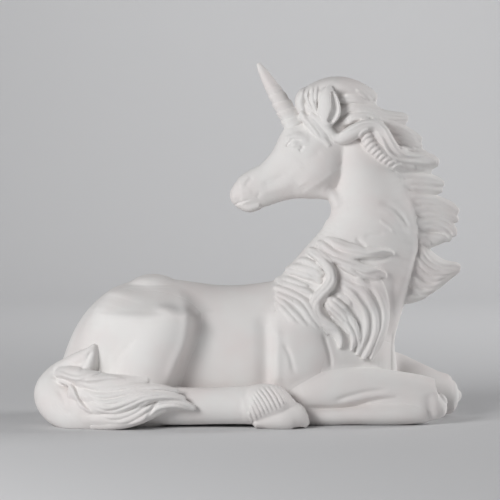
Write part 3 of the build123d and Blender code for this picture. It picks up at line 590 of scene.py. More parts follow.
SKIN_LOCKS = {
    "curl": (
        ((311, 250.5, 3.5, -2, 3), (319, 256, 5.5, 0.6, 3), (329, 268, 6, 1.6, 3.4),
         (332, 281, 6, 1.8, 3.6), (325, 292, 6, 1.6, 3.6), (317, 302, 6, 1.4, 3.4), (317, 314, 6, 1.2, 3.2),
         (326, 324, 6, 1.0, 3), (336, 332, 5, 0.8, 2.6), (341, 342, 3.5, 0.4, 2.2),
         (340, 348, 1.5, 0, 1.5)),
    ),
    "withers": (
        ((290, 270, 3.5, -3, 3), (297, 270.6, 6.5, -0.6, 2.6), (308, 274, 6, 0, 2.6),
         (316, 278, 4.5, 0, 2.2), (321, 282, 2, 0, 1.6)),
        ((301, 262, 3.5, -3, 3), (307, 264.6, 6, -0.4, 2.6), (315, 269, 5, 0, 2.4), (322, 275, 3, 0, 1.8)),
    ),
    "saddle": (
        ((280, 281, 4, -3, 3), (289, 285, 6, -0.6, 2.6), (300, 290, 6, 0, 2.6), (310, 295, 5, 0, 2.4),
         (316, 301, 3, 0, 1.8)),
        ((278, 289, 4, -3, 3), (287, 295, 6.5, -0.6, 2.6), (298, 303, 6.5, 0, 2.6), (307, 312, 6, 0, 2.6),
         (315, 321, 5, 0, 2.4), (323, 328, 3.5, 0, 2), (329, 332, 1.5, 0, 1.4)),
    ),
    "outer": (
        ((279, 297, 4, -3, 3), (286, 305, 6.5, -0.8, 2.6), (294, 315, 6, -0.2, 2.4),
         (302, 323, 4.5, 0, 2.2), (309, 329, 2, 0, 1.6)),
        ((278, 305, 3.5, -3, 2.6), (283, 313, 5, -0.8, 2.4), (289, 320, 4, -0.2, 2.2),
         (296, 326, 2, 0, 1.5)),
    ),
    "throat": (
        ((328.5, 240.5, 3.5, -3, 3), (336, 245, 7, -0.6, 2.6), (348, 250, 7.5, 0, 2.8),
         (362, 252, 6.5, 0.3, 2.8), (378, 252, 4.8, 0.5, 2.5), (388, 252, 3.4, 0.4, 2.1),
         (392.5, 253, 1.8, 0.2, 1.5)),
        ((319.5, 244, 3.5, -3, 3), (325, 249.5, 6, -0.6, 2.6), (334, 257, 6, 0, 2.6),
         (344, 262, 3.5, 0, 2)),
    ),
    "breast": (
        ((336, 257, 5, -1, 3), (348, 264, 7, 0, 2.8), (362, 270, 7, 0.4, 2.8), (374, 273, 6, 0.6, 2.6),
         (382, 274.5, 4, 0.5, 2), (386, 277, 2, 0.2, 1.5)),
    ),
    "tuft": (
        ((330, 299, 4, 0.2, 3), (336, 306, 6.5, 0.8, 3), (345, 314, 6.5, 0.6, 2.8), (352, 325, 5, 0.3, 2.4),
         (354, 340, 3.5, 0, 2), (352, 350, 1.8, 0, 1.4)),
        ((327, 305, 4, 0.2, 3), (334, 312, 5.5, 0.6, 2.8), (343, 320, 5, 0.2, 2.4),
         (350, 332, 3.5, 0, 1.8)),
    ),
    "chest": (
        ((372, 276, 5, -2, 3), (379, 290, 7, 0, 2.8), (383, 308, 7, 0.3, 2.8), (383, 326, 6.5, 0.3, 2.6),
         (378, 343, 5, 0, 2.2), (371, 358, 2.5, -0.3, 1.6)),
        ((358, 280, 5, -2, 3), (366, 296, 7, 0, 2.8), (373, 312, 7.5, 0.3, 2.8), (374, 329, 6.5, 0.3, 2.6),
         (370, 345, 5, 0, 2.2), (363, 358, 2.5, -0.3, 1.6)),
        ((342, 282, 5, -2, 3), (352, 293, 7, -0.2, 2.6), (361, 306, 7.5, 0, 2.6), (365, 322, 6.5, 0, 2.4),
         (362, 340, 5, -0.3, 2), (358, 354, 2.5, -0.6, 1.5)),
    ),
}
HAIR_BLEND = 1.4


for name, locks in LOCKS.items():
    forms[name] = [Limb(stations, blend=HAIR_BLEND) for stations in locks]
for label, locks in SKIN_LOCKS.items():
    for prefix, mirrored in (("", False), ("far_", True)):
        name = f"{prefix}shoulder_lock_{label}"
        forms[name] = [Limb(on_skin(stations), blend=HAIR_BLEND, mirror=mirrored) for stations in locks]
NODES = {name: (name,) for name in forms}
NODES["body"] = tuple(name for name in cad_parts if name.endswith("body_shell"))
print(len(forms), "forms of", sum(len(limbs) for limbs in forms.values()), "limbs;",
      "without a form:", sorted(set(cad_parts) - {name for names in NODES.values() for name in names}))

# %% [markdown]
# ## Strokes of the modelling tool
#
# Locks give the hair its mass, but the strands on it are shallow. A modeller draws them into the wet clay
# with a loop, which leaves round ridges with sharp valleys between. Here each stroke is a line of points
# on the traced view with a width, and a stroke raises the surface or sinks it. Where ridges cross, the
# higher one wins, so their sides meet in a valley. A bump map would shade like this, but it wouldn't
# change the outline of the mane or cast shadows.

# %% Relief
class Relief:
    """Heights in millimetres over the traced view, drawn in strokes."""

    FINENESS = 4
    CURVE_STEPS = 5
    REACH = 2.2
    TAPER = (0.45, 3, 0.45, 2.2)
    FADE = (0.1, 5, 0.3, 4)

    def __init__(self):
        side = PICTURE_SIDE * self.FINENESS
        self.ridge = np.zeros((side, side), np.float32)
        self.groove = np.zeros((side, side), np.float32)

    @staticmethod
    def ends(share, start, rise, end, fall):
        """A factor that rises from its start to 1 along a line, and falls again to its end."""
        return np.minimum(np.minimum(start + rise * share, end + fall * (1 - share)), 1)

    def stroke(self, line, half_width, height, soft=False):
        """A ridge along a line, or a groove if the height is negative. Widths are in pixels."""
        rows = np.column_stack([np.array(line, float), np.zeros((len(line), 3))])
        line = Limb.smooth(rows, self.CURVE_STEPS)[:, :2]
        steps = np.linalg.norm(np.diff(line, axis=0), axis=1)
        length = steps.sum()
        margin = self.REACH * half_width
        low = np.maximum(((line.min(0) - margin) * self.FINENESS).astype(int), 0)
        high = ((line.max(0) + margin) * self.FINENESS).astype(int) + 1
        high = np.minimum(high, PICTURE_SIDE * self.FINENESS)
        across = np.arange(low[0], high[0])[None, :] / self.FINENESS
        down = np.arange(low[1], high[1])[:, None] / self.FINENESS
        best = np.full((down.size, across.size), FAR_AWAY)
        share = np.zeros_like(best)
        run = 0.0
        for start, end, step in zip(line, line[1:], steps):
            way = (end - start) / step
            t = np.clip((across - start[0]) * way[0] + (down - start[1]) * way[1], 0, step)
            away = np.hypot(across - start[0] - t * way[0], down - start[1] - t * way[1])
            nearer = away < best
            best = np.where(nearer, away, best)
            share = np.where(nearer, (run + t) / length, share)
            run += step
        window = (slice(low[1], high[1]), slice(low[0], high[0]))
        taper = self.ends(share, *self.TAPER)
        fade = self.ends(share, *self.FADE)
        if height > 0 and not soft:
            profile = np.clip(1 - (best / (half_width * taper)) ** 2, 0, 1) * height * fade
            self.ridge[window] = np.maximum(self.ridge[window], profile)
        else:
            profile = np.exp(-((best / half_width) ** 2)) * height * fade
            self.groove[window] += profile

    def at(self, across, down):
        """Heights at pixels, between the four nearest samples."""
        last = PICTURE_SIDE * self.FINENESS - 2
        x = np.clip(across * self.FINENESS, 0, last)
        y = np.clip(down * self.FINENESS, 0, last)
        i, j = x.astype(int), y.astype(int)
        fx, fy = x - i, y - j
        total = 0
        for sheet in (self.ridge, self.groove):
            top = sheet[j, i] * (1 - fx) + sheet[j, i + 1] * fx
            total = total + top * (1 - fy) + (sheet[j + 1, i] * (1 - fx) + sheet[j + 1, i + 1] * fx) * fy
        return total


def seen(x, y, z):
    """The pixel that the traced view shows a place in millimetres at."""
    off_y, off_z = y - EYE[1], z - EYE[2]
    deep = off_y * AIM[1] + off_z * AIM[2]
    high = off_y * RISE[1] + off_z * RISE[2]
    return MIDDLE + FOCAL_PIXELS * x / deep, MIDDLE - FOCAL_PIXELS * high / deep


def drawn(alike=(), single=(), soft=False):
    """A relief with groups of like strokes and then single ones. Widths are in pixels, heights in mm."""
    relief = Relief()
    for lines, half_width, height in alike:
        for line in lines:
            relief.stroke(line, half_width, height)
    for line, half_width, height in single:
        relief.stroke(line, half_width, height, soft)
    return relief


print("relief ready")

# %% Strokes on the mane and forelock
MANE_RIDGES = (
    ((356, 88), (362, 93), (368, 98), (372, 101)),
    ((341, 97), (350, 97), (360, 99), (368, 101)),
    ((342, 103), (352, 101), (362, 102), (375, 105), (381, 109)),
    ((342, 109), (350, 106), (362, 106), (374, 108), (384, 113), (395, 115), (405, 115)),
    ((342, 115), (349, 110.5), (360, 110), (372, 111.5), (384, 117), (396, 119), (406, 119)),
    ((343, 122), (349, 116), (358, 113.5), (370, 115), (382, 120), (395, 123), (405, 123)),
    ((346, 126), (352, 120), (360, 117.5), (371, 117.5)),
    ((388, 124), (398, 126), (406, 131), (414, 136)),
    ((391, 130), (400, 132), (410, 137), (418, 141)),
    ((394, 135), (403, 138), (412, 141), (419, 144)),
    ((397, 141), (406, 143), (414, 145), (419, 147)),
    ((399, 147), (408, 148), (417, 149)),
    ((421, 243), (426, 252), (433, 260), (442, 264), (453, 264), (460, 267)),
    ((419, 249), (424, 258), (432, 265), (443, 269), (455, 269)),
    ((417, 257), (424, 266), (434, 272), (446, 273), (455, 271)),
    ((415, 266), (424, 275), (434, 279), (445, 277)),
    ((413, 276), (423, 284), (433, 286), (442, 281)),
    ((411, 286), (421, 292), (431, 291), (438, 287)),
    ((408, 296), (419, 298), (429, 295)),
)
RIBBON_RIDGES = (
    ((335, 134.5), (341.5, 133.5), (347, 130.5), (353, 127), (359, 124), (365, 121.8), (371, 121.3),
     (377, 122.4), (382, 125.5),
     (386, 130), (389.5, 137), (394, 145), (399, 151), (405, 154.5), (414, 156), (426, 156), (434, 159)),
    ((375.5, 129), (379, 134), (382, 139), (385, 145), (388.5, 150.5), (392.5, 155), (398, 159),
     (406, 161.5), (417, 162.5), (429, 163.5)),
)
TUFT_RIDGES = (
    ((371.5, 129.5), (366, 130.5), (361.5, 134), (359.5, 139)),
    ((374, 134), (368.5, 135.5), (364, 138.6), (361.4, 143.2)),
    ((376, 138.6), (370.8, 140.2), (367, 143), (364.4, 147)),
    ((377.8, 143.2), (373.4, 144.8), (370.2, 147.4), (368, 151)),
    ((380, 147.6), (376.2, 149.2), (373.6, 151.6), (371.6, 154.6)),
    ((382.8, 151.6), (379.4, 153), (377, 155.2), (375.2, 157.8)),
    ((386.4, 155), (383.2, 156.4), (381, 158.4), (379.2, 160.8)),
    ((391, 158), (387.6, 159.4), (385.2, 161.4), (383.4, 163.6)),
    ((397, 160.6), (392.6, 162), (389.8, 164), (388, 166.2)),
    ((404, 163.5), (398.6, 164.8), (395, 166.8), (393, 169)),
)
MANE_EDGE_RIDGES = (
    ((398, 164), (412, 167.5), (426, 169)),
    ((402, 175), (415, 176), (428, 177), (438, 181)),
    ((405, 181), (418, 182), (430, 183), (441, 185)),
    ((409, 188), (420, 188), (432, 189), (440, 191)),
    ((412, 196), (425, 197), (438, 199), (448, 205), (456, 211)),
    ((414, 202), (426, 202), (438, 204), (447, 209), (456, 214)),
    ((417, 208), (428, 208), (440, 210), (450, 214), (457, 218)),
    ((419, 215), (430, 215), (443, 217), (451, 222), (455, 229)),
    ((420, 221), (432, 221), (443, 223), (450, 228), (454, 235)),
    ((421, 228), (432, 228), (442, 230), (448, 234), (452, 239)),
    ((421, 235), (432, 235), (441, 237), (447, 240)),
    ((419, 241), (426, 242), (432, 245)),
)
FORELOCK_RIDGES = (
    (((305, 86.5), (299.5, 93), (298.5, 102), (301, 110), (304.5, 117)), 4.6, 0.8),
    (((309, 87.5), (307.3, 93), (307, 99), (309.5, 105.5), (313, 110.5)), 1.7, 0.5),
    (((313, 86), (311.6, 95), (314, 105), (317, 114)), 2.4, 0.9),
    (((317.5, 85.5), (315.8, 95), (317, 105), (319, 113)), 2.2, 0.9),
    (((326, 85), (323.5, 95), (323, 108)), 5.0, 0.5),
)
FORELOCK_GROOVES = (
    ((309, 85.5), (305.5, 91), (304.6, 97), (306.6, 103.5), (310.5, 109), (315, 114.5)),
    ((311, 87.5), (309.5, 93), (309.4, 98), (311.2, 104), (314.2, 110), (316.5, 115)),
)
BROW_RIDGES = (
    ((302, 118), (308, 122), (314, 130), (320, 139)),
    ((308, 116), (315, 124), (322, 132), (328, 138)),
)
MANE_STROKES = (
    (MANE_RIDGES, 3.1, 1.1),
    (MANE_EDGE_RIDGES, 3.1, 0.75),
    (TUFT_RIDGES, 2.2, 1.0),
    (RIBBON_RIDGES, 2.5, 1.1),
    (BROW_RIDGES, 2.6, 0.6),
    (FORELOCK_GROOVES, 1.5, -0.8),
)
mane_relief = drawn(MANE_STROKES, FORELOCK_RIDGES)
print("mane strokes", sum(len(lines) for lines, _, _ in MANE_STROKES))

# %% Strokes on the chest, shoulder and flanks
CHEST_RIDGES = (
    ((290, 265.5), (296, 266), (305, 268), (315, 271), (321, 276)),
    ((285.5, 271), (292, 272), (303, 275), (314, 279)),
    ((281, 276.5), (288, 278), (300, 282), (312, 286)),
    ((276, 282), (285, 284), (297, 288), (309, 292), (314, 296)),
    ((272, 285), (283, 289), (296, 294), (305, 300), (310, 308), (315, 317), (322, 325), (329, 330)),
    ((274, 291), (284, 296), (294, 301), (303, 309), (310, 319), (318, 328)),
    ((276, 297), (284, 303), (292, 311), (300, 319), (306, 325)),
    ((278, 303), (284, 310), (291, 318), (297, 323)),
    ((299, 258.5), (304, 259.5), (313, 263.5), (321, 270)),
    ((305.5, 252), (311, 254), (319, 259), (326, 267), (329, 276)),
    ((311, 250), (315.5, 254), (324, 261), (332, 270), (334, 281), (328, 290), (320, 298), (315, 307),
     (317, 317), (325, 324), (335, 330), (341, 337), (342, 347)),
    ((314, 249), (321, 257), (328, 266), (330, 277), (325, 286), (317, 294), (311, 303), (312, 314)),
    ((320, 300), (318, 309), (322, 318), (331, 324)),
    ((329, 301), (336, 307), (343, 314), (348, 322)),
    ((326, 306), (333, 312), (340, 318), (345, 326)),
    ((333, 297), (341, 303), (348, 310)),
    ((337, 293), (345, 299), (352, 307)),
    ((342, 319), (349, 328), (353, 338), (352, 349)),
    ((346, 313), (354, 322), (359, 334), (359, 346)),
    ((329, 238), (334, 243), (345, 248), (358, 250), (372, 252), (384, 251), (392, 253)),
    ((321.5, 241), (326.5, 247), (336, 253), (350, 257), (362, 258)),
    ((317, 245.5), (320, 250.5), (328, 257), (340, 262), (353, 267), (366, 271), (378, 270), (385, 274)),
    ((336, 262), (346, 269), (358, 275), (370, 279), (379, 279)),
    ((340, 271), (350, 276), (362, 281), (372, 287), (380, 297), (385, 312), (384, 328), (378, 343),
     (371, 359)),
    ((345, 281), (355, 286), (364, 293), (371, 304), (376, 317), (376, 331), (371, 346), (364, 359)),
    ((340, 285), (350, 292), (359, 302), (366, 315), (367, 330), (362, 348)),
)
COAT_FOLDS = (
    (((379, 220), (385, 223.4), (390, 227), (394.5, 232.5)), 1.6, 0.8),
    (((380, 208), (390, 213), (399, 222), (406, 233), (411, 245)), 4.2, 0.6),
    (((379, 201.5), (388, 205.5), (396, 211), (404, 220.5), (409, 231)), 3.4, -1.0),
    (((392, 193), (400, 200), (408, 212), (413, 228), (415, 245), (411, 262), (404, 282), (397, 303),
      (391, 325)), 6.0, 1.2),
    (((385, 262), (392, 285), (392, 310), (386, 340)), 6.0, -0.9),
    (((263, 312), (267.5, 345), (266, 390)), 9.0, -2.3),
    (((275, 320), (276, 345), (275.6, 390)), 6.0, 2.2),
    (((286, 322), (287, 345), (286.6, 390)), 9.0, 0.7),
    (((176, 290), (183.5, 302), (187, 315), (187, 328), (184, 345), (177, 360), (166, 388)), 6.5, 1.5),
    (((284, 343), (290, 356), (294, 372)), 2.4, -0.8),
    (((136, 338), (124, 352), (110, 372)), 3.6, -0.8),
    (((366, 253.6), (375, 251.9), (384, 250.3), (390.5, 250.6), (393, 253.6), (389, 257.6)), 1.1, 0.5),
    (((364, 266), (374, 268), (381, 270), (385.4, 273), (385.6, 276.5), (381, 281)), 1.1, 0.5),
    (((356, 237.5), (361, 243.5), (367.5, 250.5)), 2.3, -0.9),
    (((364, 236.5), (374, 235), (384, 233.8)), 2.3, -0.55),
)
CHEST_GROOVES = (
    ((336, 270), (338, 280), (335, 290), (326, 296)),
    ((362, 260), (375, 261), (390, 257)),
    ((323, 303), (326, 311), (333, 318)),
    ((323, 333), (327, 345), (330, 357), (331, 367)),
    ((352, 268), (366, 277), (380, 283)),
)
COAT_STROKES = ((CHEST_RIDGES, 3.4, 1.15), (CHEST_GROOVES, 2.0, -1.0))
coat_relief = drawn(COAT_STROKES, COAT_FOLDS, soft=True)
print("coat strokes", len(CHEST_RIDGES) + len(CHEST_GROOVES) + len(COAT_FOLDS))

# %% Strokes on the tail, hoof hair, legs and face
TAIL_RIDGES = (
    ((52, 379), (62, 382), (71, 386.5), (76, 397), (82, 406), (91, 413)),
    ((54, 371), (66, 376), (78, 378.5), (90, 375), (101, 371.5)),
    ((80, 380), (95, 379), (110, 377), (124, 379)),
    ((82, 385), (97, 388), (115, 388), (133, 385), (146, 384)),
    ((83, 390), (100, 396), (120, 394), (140, 389), (160, 388), (177, 391)),
    ((87, 396), (103, 402), (121, 399), (138, 393), (152, 391)),
    ((91, 403), (108, 408), (126, 403), (143, 396), (158, 394), (170, 396)),
    ((96, 410), (113, 413), (130, 407), (145, 400), (158, 398), (172, 398), (185, 401), (194, 407)),
    ((102, 416), (119, 417), (134, 411), (147, 403), (157, 400)),
    ((107, 422), (124, 421), (138, 415), (150, 407), (160, 403), (174, 402), (186, 405), (194, 409)),
    ((128, 425), (142, 420), (152, 412), (162, 407), (175, 406), (187, 409)),
)
TAIL_FOLDS = (
    (((50, 375), (57.7, 378.6), (66, 381.2), (74.8, 385.7), (79.6, 396.4), (85.5, 404.6),
      (94, 410.5)), 2.6, -1.2),
    (((57, 389), (63, 397), (66, 406)), 2.6, -0.7),
    (((54, 401), (61, 409), (72, 414)), 2.6, -0.6),
    (((157.5, 400.5), (153, 408), (146.5, 419)), 2.0, -1.0),
    (((92, 350), (87.5, 359), (81, 371)), 1.8, -0.8),
)
FEATHER_RIDGES = (
    ((248.5, 411), (250, 417), (252.5, 423)),
    ((250, 404), (252.5, 411), (256.5, 419.5)),
    ((252, 399), (256, 407.5), (260.5, 417)),
    ((253.5, 395), (258.5, 403.5), (264.5, 415)),
    ((255, 391), (261.5, 400.5), (268.3, 413)),
    ((257.5, 388.5), (264.5, 397.5), (272, 411)),
    ((261, 386.5), (268.5, 396), (276, 409.5)),
    ((265.5, 385.5), (273, 394.5), (280, 408)),
    ((270.5, 385.5), (277.5, 393.5), (284, 406)),
    ((275.5, 387), (281.5, 393.5), (287.5, 404.5)),
)
LEG_FOLDS = (
    (((334, 401), (350, 396), (366, 392), (386, 390)), 2.4, -1.0),
    (((302, 407), (330, 408), (351, 406), (374, 400), (396, 398)), 2.2, -1.2),
    (((427.5, 393), (429.5, 404), (429, 420)), 5.2, -1.1),
    (((338, 404), (355, 400), (376, 396), (395, 395)), 3.4, 0.35),
)
FACE_STROKES = (
    (((262, 186), (273, 181), (286, 174)), 4.0, -0.5),
    (((258, 194), (268, 191.5), (280, 188), (293, 184)), 4.0, 0.35),
    (((234.5, 204.6), (238.5, 203.2), (243.5, 201.3), (249, 199.8)), 1.0, -0.5),
    (((237, 206.2), (242, 204.2), (248, 202)), 1.4, 0.2),
    (((256, 198), (258, 195.5), (260, 192.5)), 2.2, -0.3),
    (((286.6, 147.4), (287.8, 144.4), (290.6, 141.8)), 1.3, -1.1),
    (((303.5, 144.9), (307.5, 144.4), (311.5, 144)), 1.0, -0.2),
    (((298.6, 150.8), (301.6, 149), (303, 145.6)), 1.6, -1.0),
    (((289.5, 140.5), (295, 138.5), (301, 140.8)), 1.2, -0.5),
    (((252.5, 176.5), (249, 181), (245, 186.5)), 2.3, -0.45),
    (((248.5, 175.5), (245.5, 179.5), (242.5, 184)), 2.2, 0.2),
    (((299, 166), (309, 158), (322, 151)), 5.0, -0.5),
)
TAIL_STROKES = ((TAIL_RIDGES, 3.0, 1.3),)
FEATHER_STROKES = ((FEATHER_RIDGES, 2.0, 0.85),)
tail_relief = drawn(TAIL_STROKES, TAIL_FOLDS, soft=True)
feather_relief = drawn(FEATHER_STROKES)
leg_relief = drawn(single=LEG_FOLDS, soft=True)
face_relief = drawn(single=FACE_STROKES, soft=True)

MANE_FORMS = ("mane_", "forelock", "brow_lock", "swept_lock")
COAT_FORMS = ("neck_shell", "body", "near_haunch", "far_haunch", "near_shoulder", "far_shoulder", "shoulder_")
RELIEFS = (
    (mane_relief, MANE_FORMS, True),
    (coat_relief, COAT_FORMS, True),
    (tail_relief, ("tail_",), False),
    (feather_relief, ("near_hind_feather", "far_hind_feather"), True),
    (leg_relief, ("near_forearm", "near_fore_cannon"), False),
    (face_relief, ("head",), True),
)
print("highest ridge", round(float(max(relief.ridge.max() for relief, _, _ in RELIEFS)), 2), "mm")

# %% [markdown]
# ## Melting the limbs together
#
# A grid of points holds the distance to the whole figurine. Limbs are added one at a time with a smooth
# minimum, which rounds the valley where two of them meet. The grid also remembers which form is nearest
# and which comes second, so that the one skin can be cut back into named pieces along those valleys.
# A voxel remesh of joined meshes would melt them too, but it would lose which clay belongs to which piece.

# %% The clay
NAMES = list(forms)
NOBODY = len(NAMES)
SKIN_SLOPE = 0.35


class Clay:
    """A block of space with its distances and owners."""

    EMPTY = 9.0
    UNCLAIMED = 99.0
    SKIN_REACH = 3
    MARGIN = 2
    ELSEWHERE = 6.0
    WIDEST_GAP = 4
    OVERLAP = 0.35

    def __init__(self, low, high, spacing):
        self.spacing = spacing
        self.axes = [np.arange(a, b + spacing, spacing) for a, b in zip(low, high)]
        shape = [axis.size for axis in self.axes]
        self.skin = np.full(shape, self.EMPTY, np.float32)
        self.first = np.full(shape, self.UNCLAIMED, np.float32)
        self.second = np.full(shape, self.UNCLAIMED, np.float32)
        self.owner = np.full(shape, NOBODY, np.uint8)
        self.runner_up = np.full(shape, NOBODY, np.uint8)

    def window(self, low, high):
        """The part of the block that a box covers, or None."""
        parts = []
        for axis, a, b in zip(self.axes, low, high):
            start, stop = np.searchsorted(axis, (a, b))
            if stop - start < 2:
                return None
            parts.append(slice(start, stop))
        return tuple(parts)

    def add(self, number, limb):
        """Melts a limb of a form on, or scoops it out."""
        part = self.window(limb.low, limb.high)
        if part is None:
            return
        field = limb.field(*[axis[cut] for axis, cut in zip(self.axes, part)])
        skin = self.skin[part]
        if limb.cut:
            blend = np.maximum(limb.blend - np.abs(skin + field), 0)
            self.skin[part] = np.maximum(skin, -field) + blend**2 / (4 * limb.blend)
            return
        blend = np.maximum(limb.blend - np.abs(skin - field), 0)
        self.skin[part] = np.minimum(skin, field) - blend**2 / (4 * limb.blend)
        first, second = self.first[part], self.second[part]
        owner, runner_up = self.owner[part], self.runner_up[part]
        mine = owner == number
        ahead = ~mine & (field < first)
        behind = ~mine & ~ahead & (field < second)
        second[ahead] = first[ahead]
        runner_up[ahead] = owner[ahead]
        first[ahead] = field[ahead]
        owner[ahead] = number
        first[mine] = np.minimum(first[mine], field[mine])
        second[behind] = field[behind]
        runner_up[behind] = number

    def press(self, relief, numbers, both):
        """Draws a relief on the skin of some forms, on the near side or on both."""
        near_skin = (np.abs(self.skin) < self.SKIN_REACH) & np.isin(self.owner, numbers)
        if not both:
            near_skin &= (self.axes[1] < 0)[None, :, None]
        i, j, k = np.nonzero(near_skin)
        x, y, z = self.axes[0][i], self.axes[1][j], self.axes[2][k]
        self.skin[i, j, k] -= relief.at(*seen(x, -np.abs(y), z))

    def piece_window(self, number):
        """The part of the block that holds a form."""
        limbs = [limb for limb in forms[NAMES[number]] if not limb.cut]
        low = np.min([limb.low for limb in limbs], axis=0)
        high = np.max([limb.high for limb in limbs], axis=0)
        return self.window(low - self.MARGIN, high + self.MARGIN)

    def piece_field(self, number):
        """The distances of one form alone, cut from its neighbours in the valleys."""
        part = self.piece_window(number)
        first, second = self.first[part], self.second[part]
        owner, runner_up = self.owner[part], self.runner_up[part]
        gap = np.where(owner == number, first - second, self.ELSEWHERE)
        gap = np.where((owner != number) & (runner_up == number), second - first, gap)
        under = self.skin[part] + SKIN_SLOPE * np.clip(gap, 0, self.WIDEST_GAP)
        return part, np.maximum(under, gap / 2 - self.OVERLAP)


print(NOBODY, "names")

# %% [markdown]
# ## From distances to a mesh
#
# Each small cube of the grid that the surface passes through gets one point, at the average of where the
# surface crosses its edges, and neighbouring points join in squares. This is called a surface net. It gives
# evenly sized squares that shade smoothly, where marching cubes would give slivers.

# %% Surface nets
OUTSIDE = 5.0
CRUMB_SHARE = 0.04


def surface_net(field, low, spacing):
    """Points and squares of the surface where a field is zero."""
    field = np.pad(field, 1, constant_values=OUTSIDE)
    inside = field < 0
    corners = [(i, j, k) for i in (0, 1) for j in (0, 1) for k in (0, 1)]
    nx, ny, nz = (n - 1 for n in field.shape)
    filled = np.zeros((nx, ny, nz), np.uint8)
    for i, j, k in corners:
        filled += inside[i : i + nx, j : j + ny, k : k + nz]
    cells = np.argwhere((filled > 0) & (filled < len(corners)))
    if len(cells) == 0:
        return np.zeros((0, 3)), np.zeros((0, 4), int)
    values = [field[cells[:, 0] + i, cells[:, 1] + j, cells[:, 2] + k] for i, j, k in corners]
    total = np.zeros((len(cells), 3))
    hits = np.zeros(len(cells))
    for a, start in enumerate(corners):
        for b, end in enumerate(corners):
            if b > a and sum(abs(p - q) for p, q in zip(start, end)) == 1:
                crosses = (values[a] < 0) != (values[b] < 0)
                t = values[a] / np.where(crosses, values[a] - values[b], 1)
                at = np.array(start) + t[:, None] * (np.array(end) - np.array(start))
                total += np.where(crosses[:, None], at, 0)
                hits += crosses
    points = low + (cells + total / hits[:, None] - 1) * spacing
    number = np.full((nx, ny, nz), -1, np.int32)
    number[tuple(cells.T)] = np.arange(len(cells))
    squares = []
    for axis in range(3):
        before = np.take(inside, range(field.shape[axis] - 1), axis)
        after = np.take(inside, range(1, field.shape[axis]), axis)
        edges = np.argwhere(before != after)
        b, c = (axis + 1) % 3, (axis + 2) % 3
        ring = []
        for step_b, step_c in ((-1, -1), (0, -1), (0, 0), (-1, 0)):
            cell = edges.copy()
            cell[:, b] += step_b
            cell[:, c] += step_c
            ring.append(number[tuple(cell.T)])
        ring = np.column_stack(ring)
        flip = ~before[tuple(edges.T)]
        ring[flip] = ring[flip][:, ::-1]
        squares.append(ring)
    return points, np.vstack(squares)


def main_islands(points, squares):
    """Drops crumbs: connected parts that are small beside the largest."""
    label = np.arange(len(points))
    while True:
        lowest = label[squares].min(1)
        new = label.copy()
        for corner in range(4):
            np.minimum.at(new, squares[:, corner], lowest)
        new = new[new]
        if (new == label).all():
            break
        label = new
    counts = np.bincount(label, minlength=len(points))
    keep = counts[label] > CRUMB_SHARE * counts.max()
    renumber = np.cumsum(keep) - 1
    return points[keep], renumber[squares[keep[squares[:, 0]]]]


def new_mesh(name, points, squares):
    """A smooth mesh object from points in millimetres of the traced frame."""
    mesh = bpy.data.meshes.new(name)
    places = (points + SHIFT) * MM
    mesh.vertices.add(len(places))
    mesh.vertices.foreach_set("co", places.ravel())
    mesh.loops.add(squares.size)
    mesh.loops.foreach_set("vertex_index", squares.ravel())
    mesh.polygons.add(len(squares))
    mesh.polygons.foreach_set("loop_start", np.arange(len(squares)) * 4)
    mesh.update(calc_edges=True)
    mesh.shade_smooth()
    piece = bpy.data.objects.new(name, mesh)
    bpy.context.scene.collection.objects.link(piece)
    return piece


print("meshing ready")

# %% [markdown]
# ## Bisque
#
# Bisque is clay that has been fired once and not glazed. Sponging smooths it, and firing leaves it white,
# matt and faintly chalky, with a fine grain and no sheen. The grain is about 0.2 mm, which is too fine to
# show at this distance, so it is drawn at 0.6 mm and kept very shallow.

# %% The material
def linear(code):
    """A colour written as in a paint chart, sRGB hex, in the linear values that shaders use."""
    values = [int(code[i : i + 2], 16) / 255 for i in (0, 2, 4)]
    values = [v / 12.92 if v <= 0.04045 else ((v + 0.055) / 1.055) ** 2.4 for v in values]
    return (*values, 1.0)


def node(tree, kind, links=(), **settings):
    """Adds a node with its settings and links. A link is (input, output socket)."""
    made = tree.nodes.new(kind)
    for key, value in settings.items():
        if key in made.inputs:
            made.inputs[key].default_value = value
        else:
            setattr(made, key, value)
    for key, source in links:
        tree.links.new(source, made.inputs[key])
    return made


BISQUE_WHITE = "EDEBE9"
BISQUE_WARM = "EAE4E2"
GRAIN_MM = 0.6
GRAIN_DEPTH_MM = 0.05
GRAIN_STRENGTH = 0.12
BLUSH_MM = 22.0
BLUSH_STARTS = 0.38
BLUSH_FULL = 0.72
BISQUE_ROUGHNESS = 0.88
BISQUE_IOR = 1.5


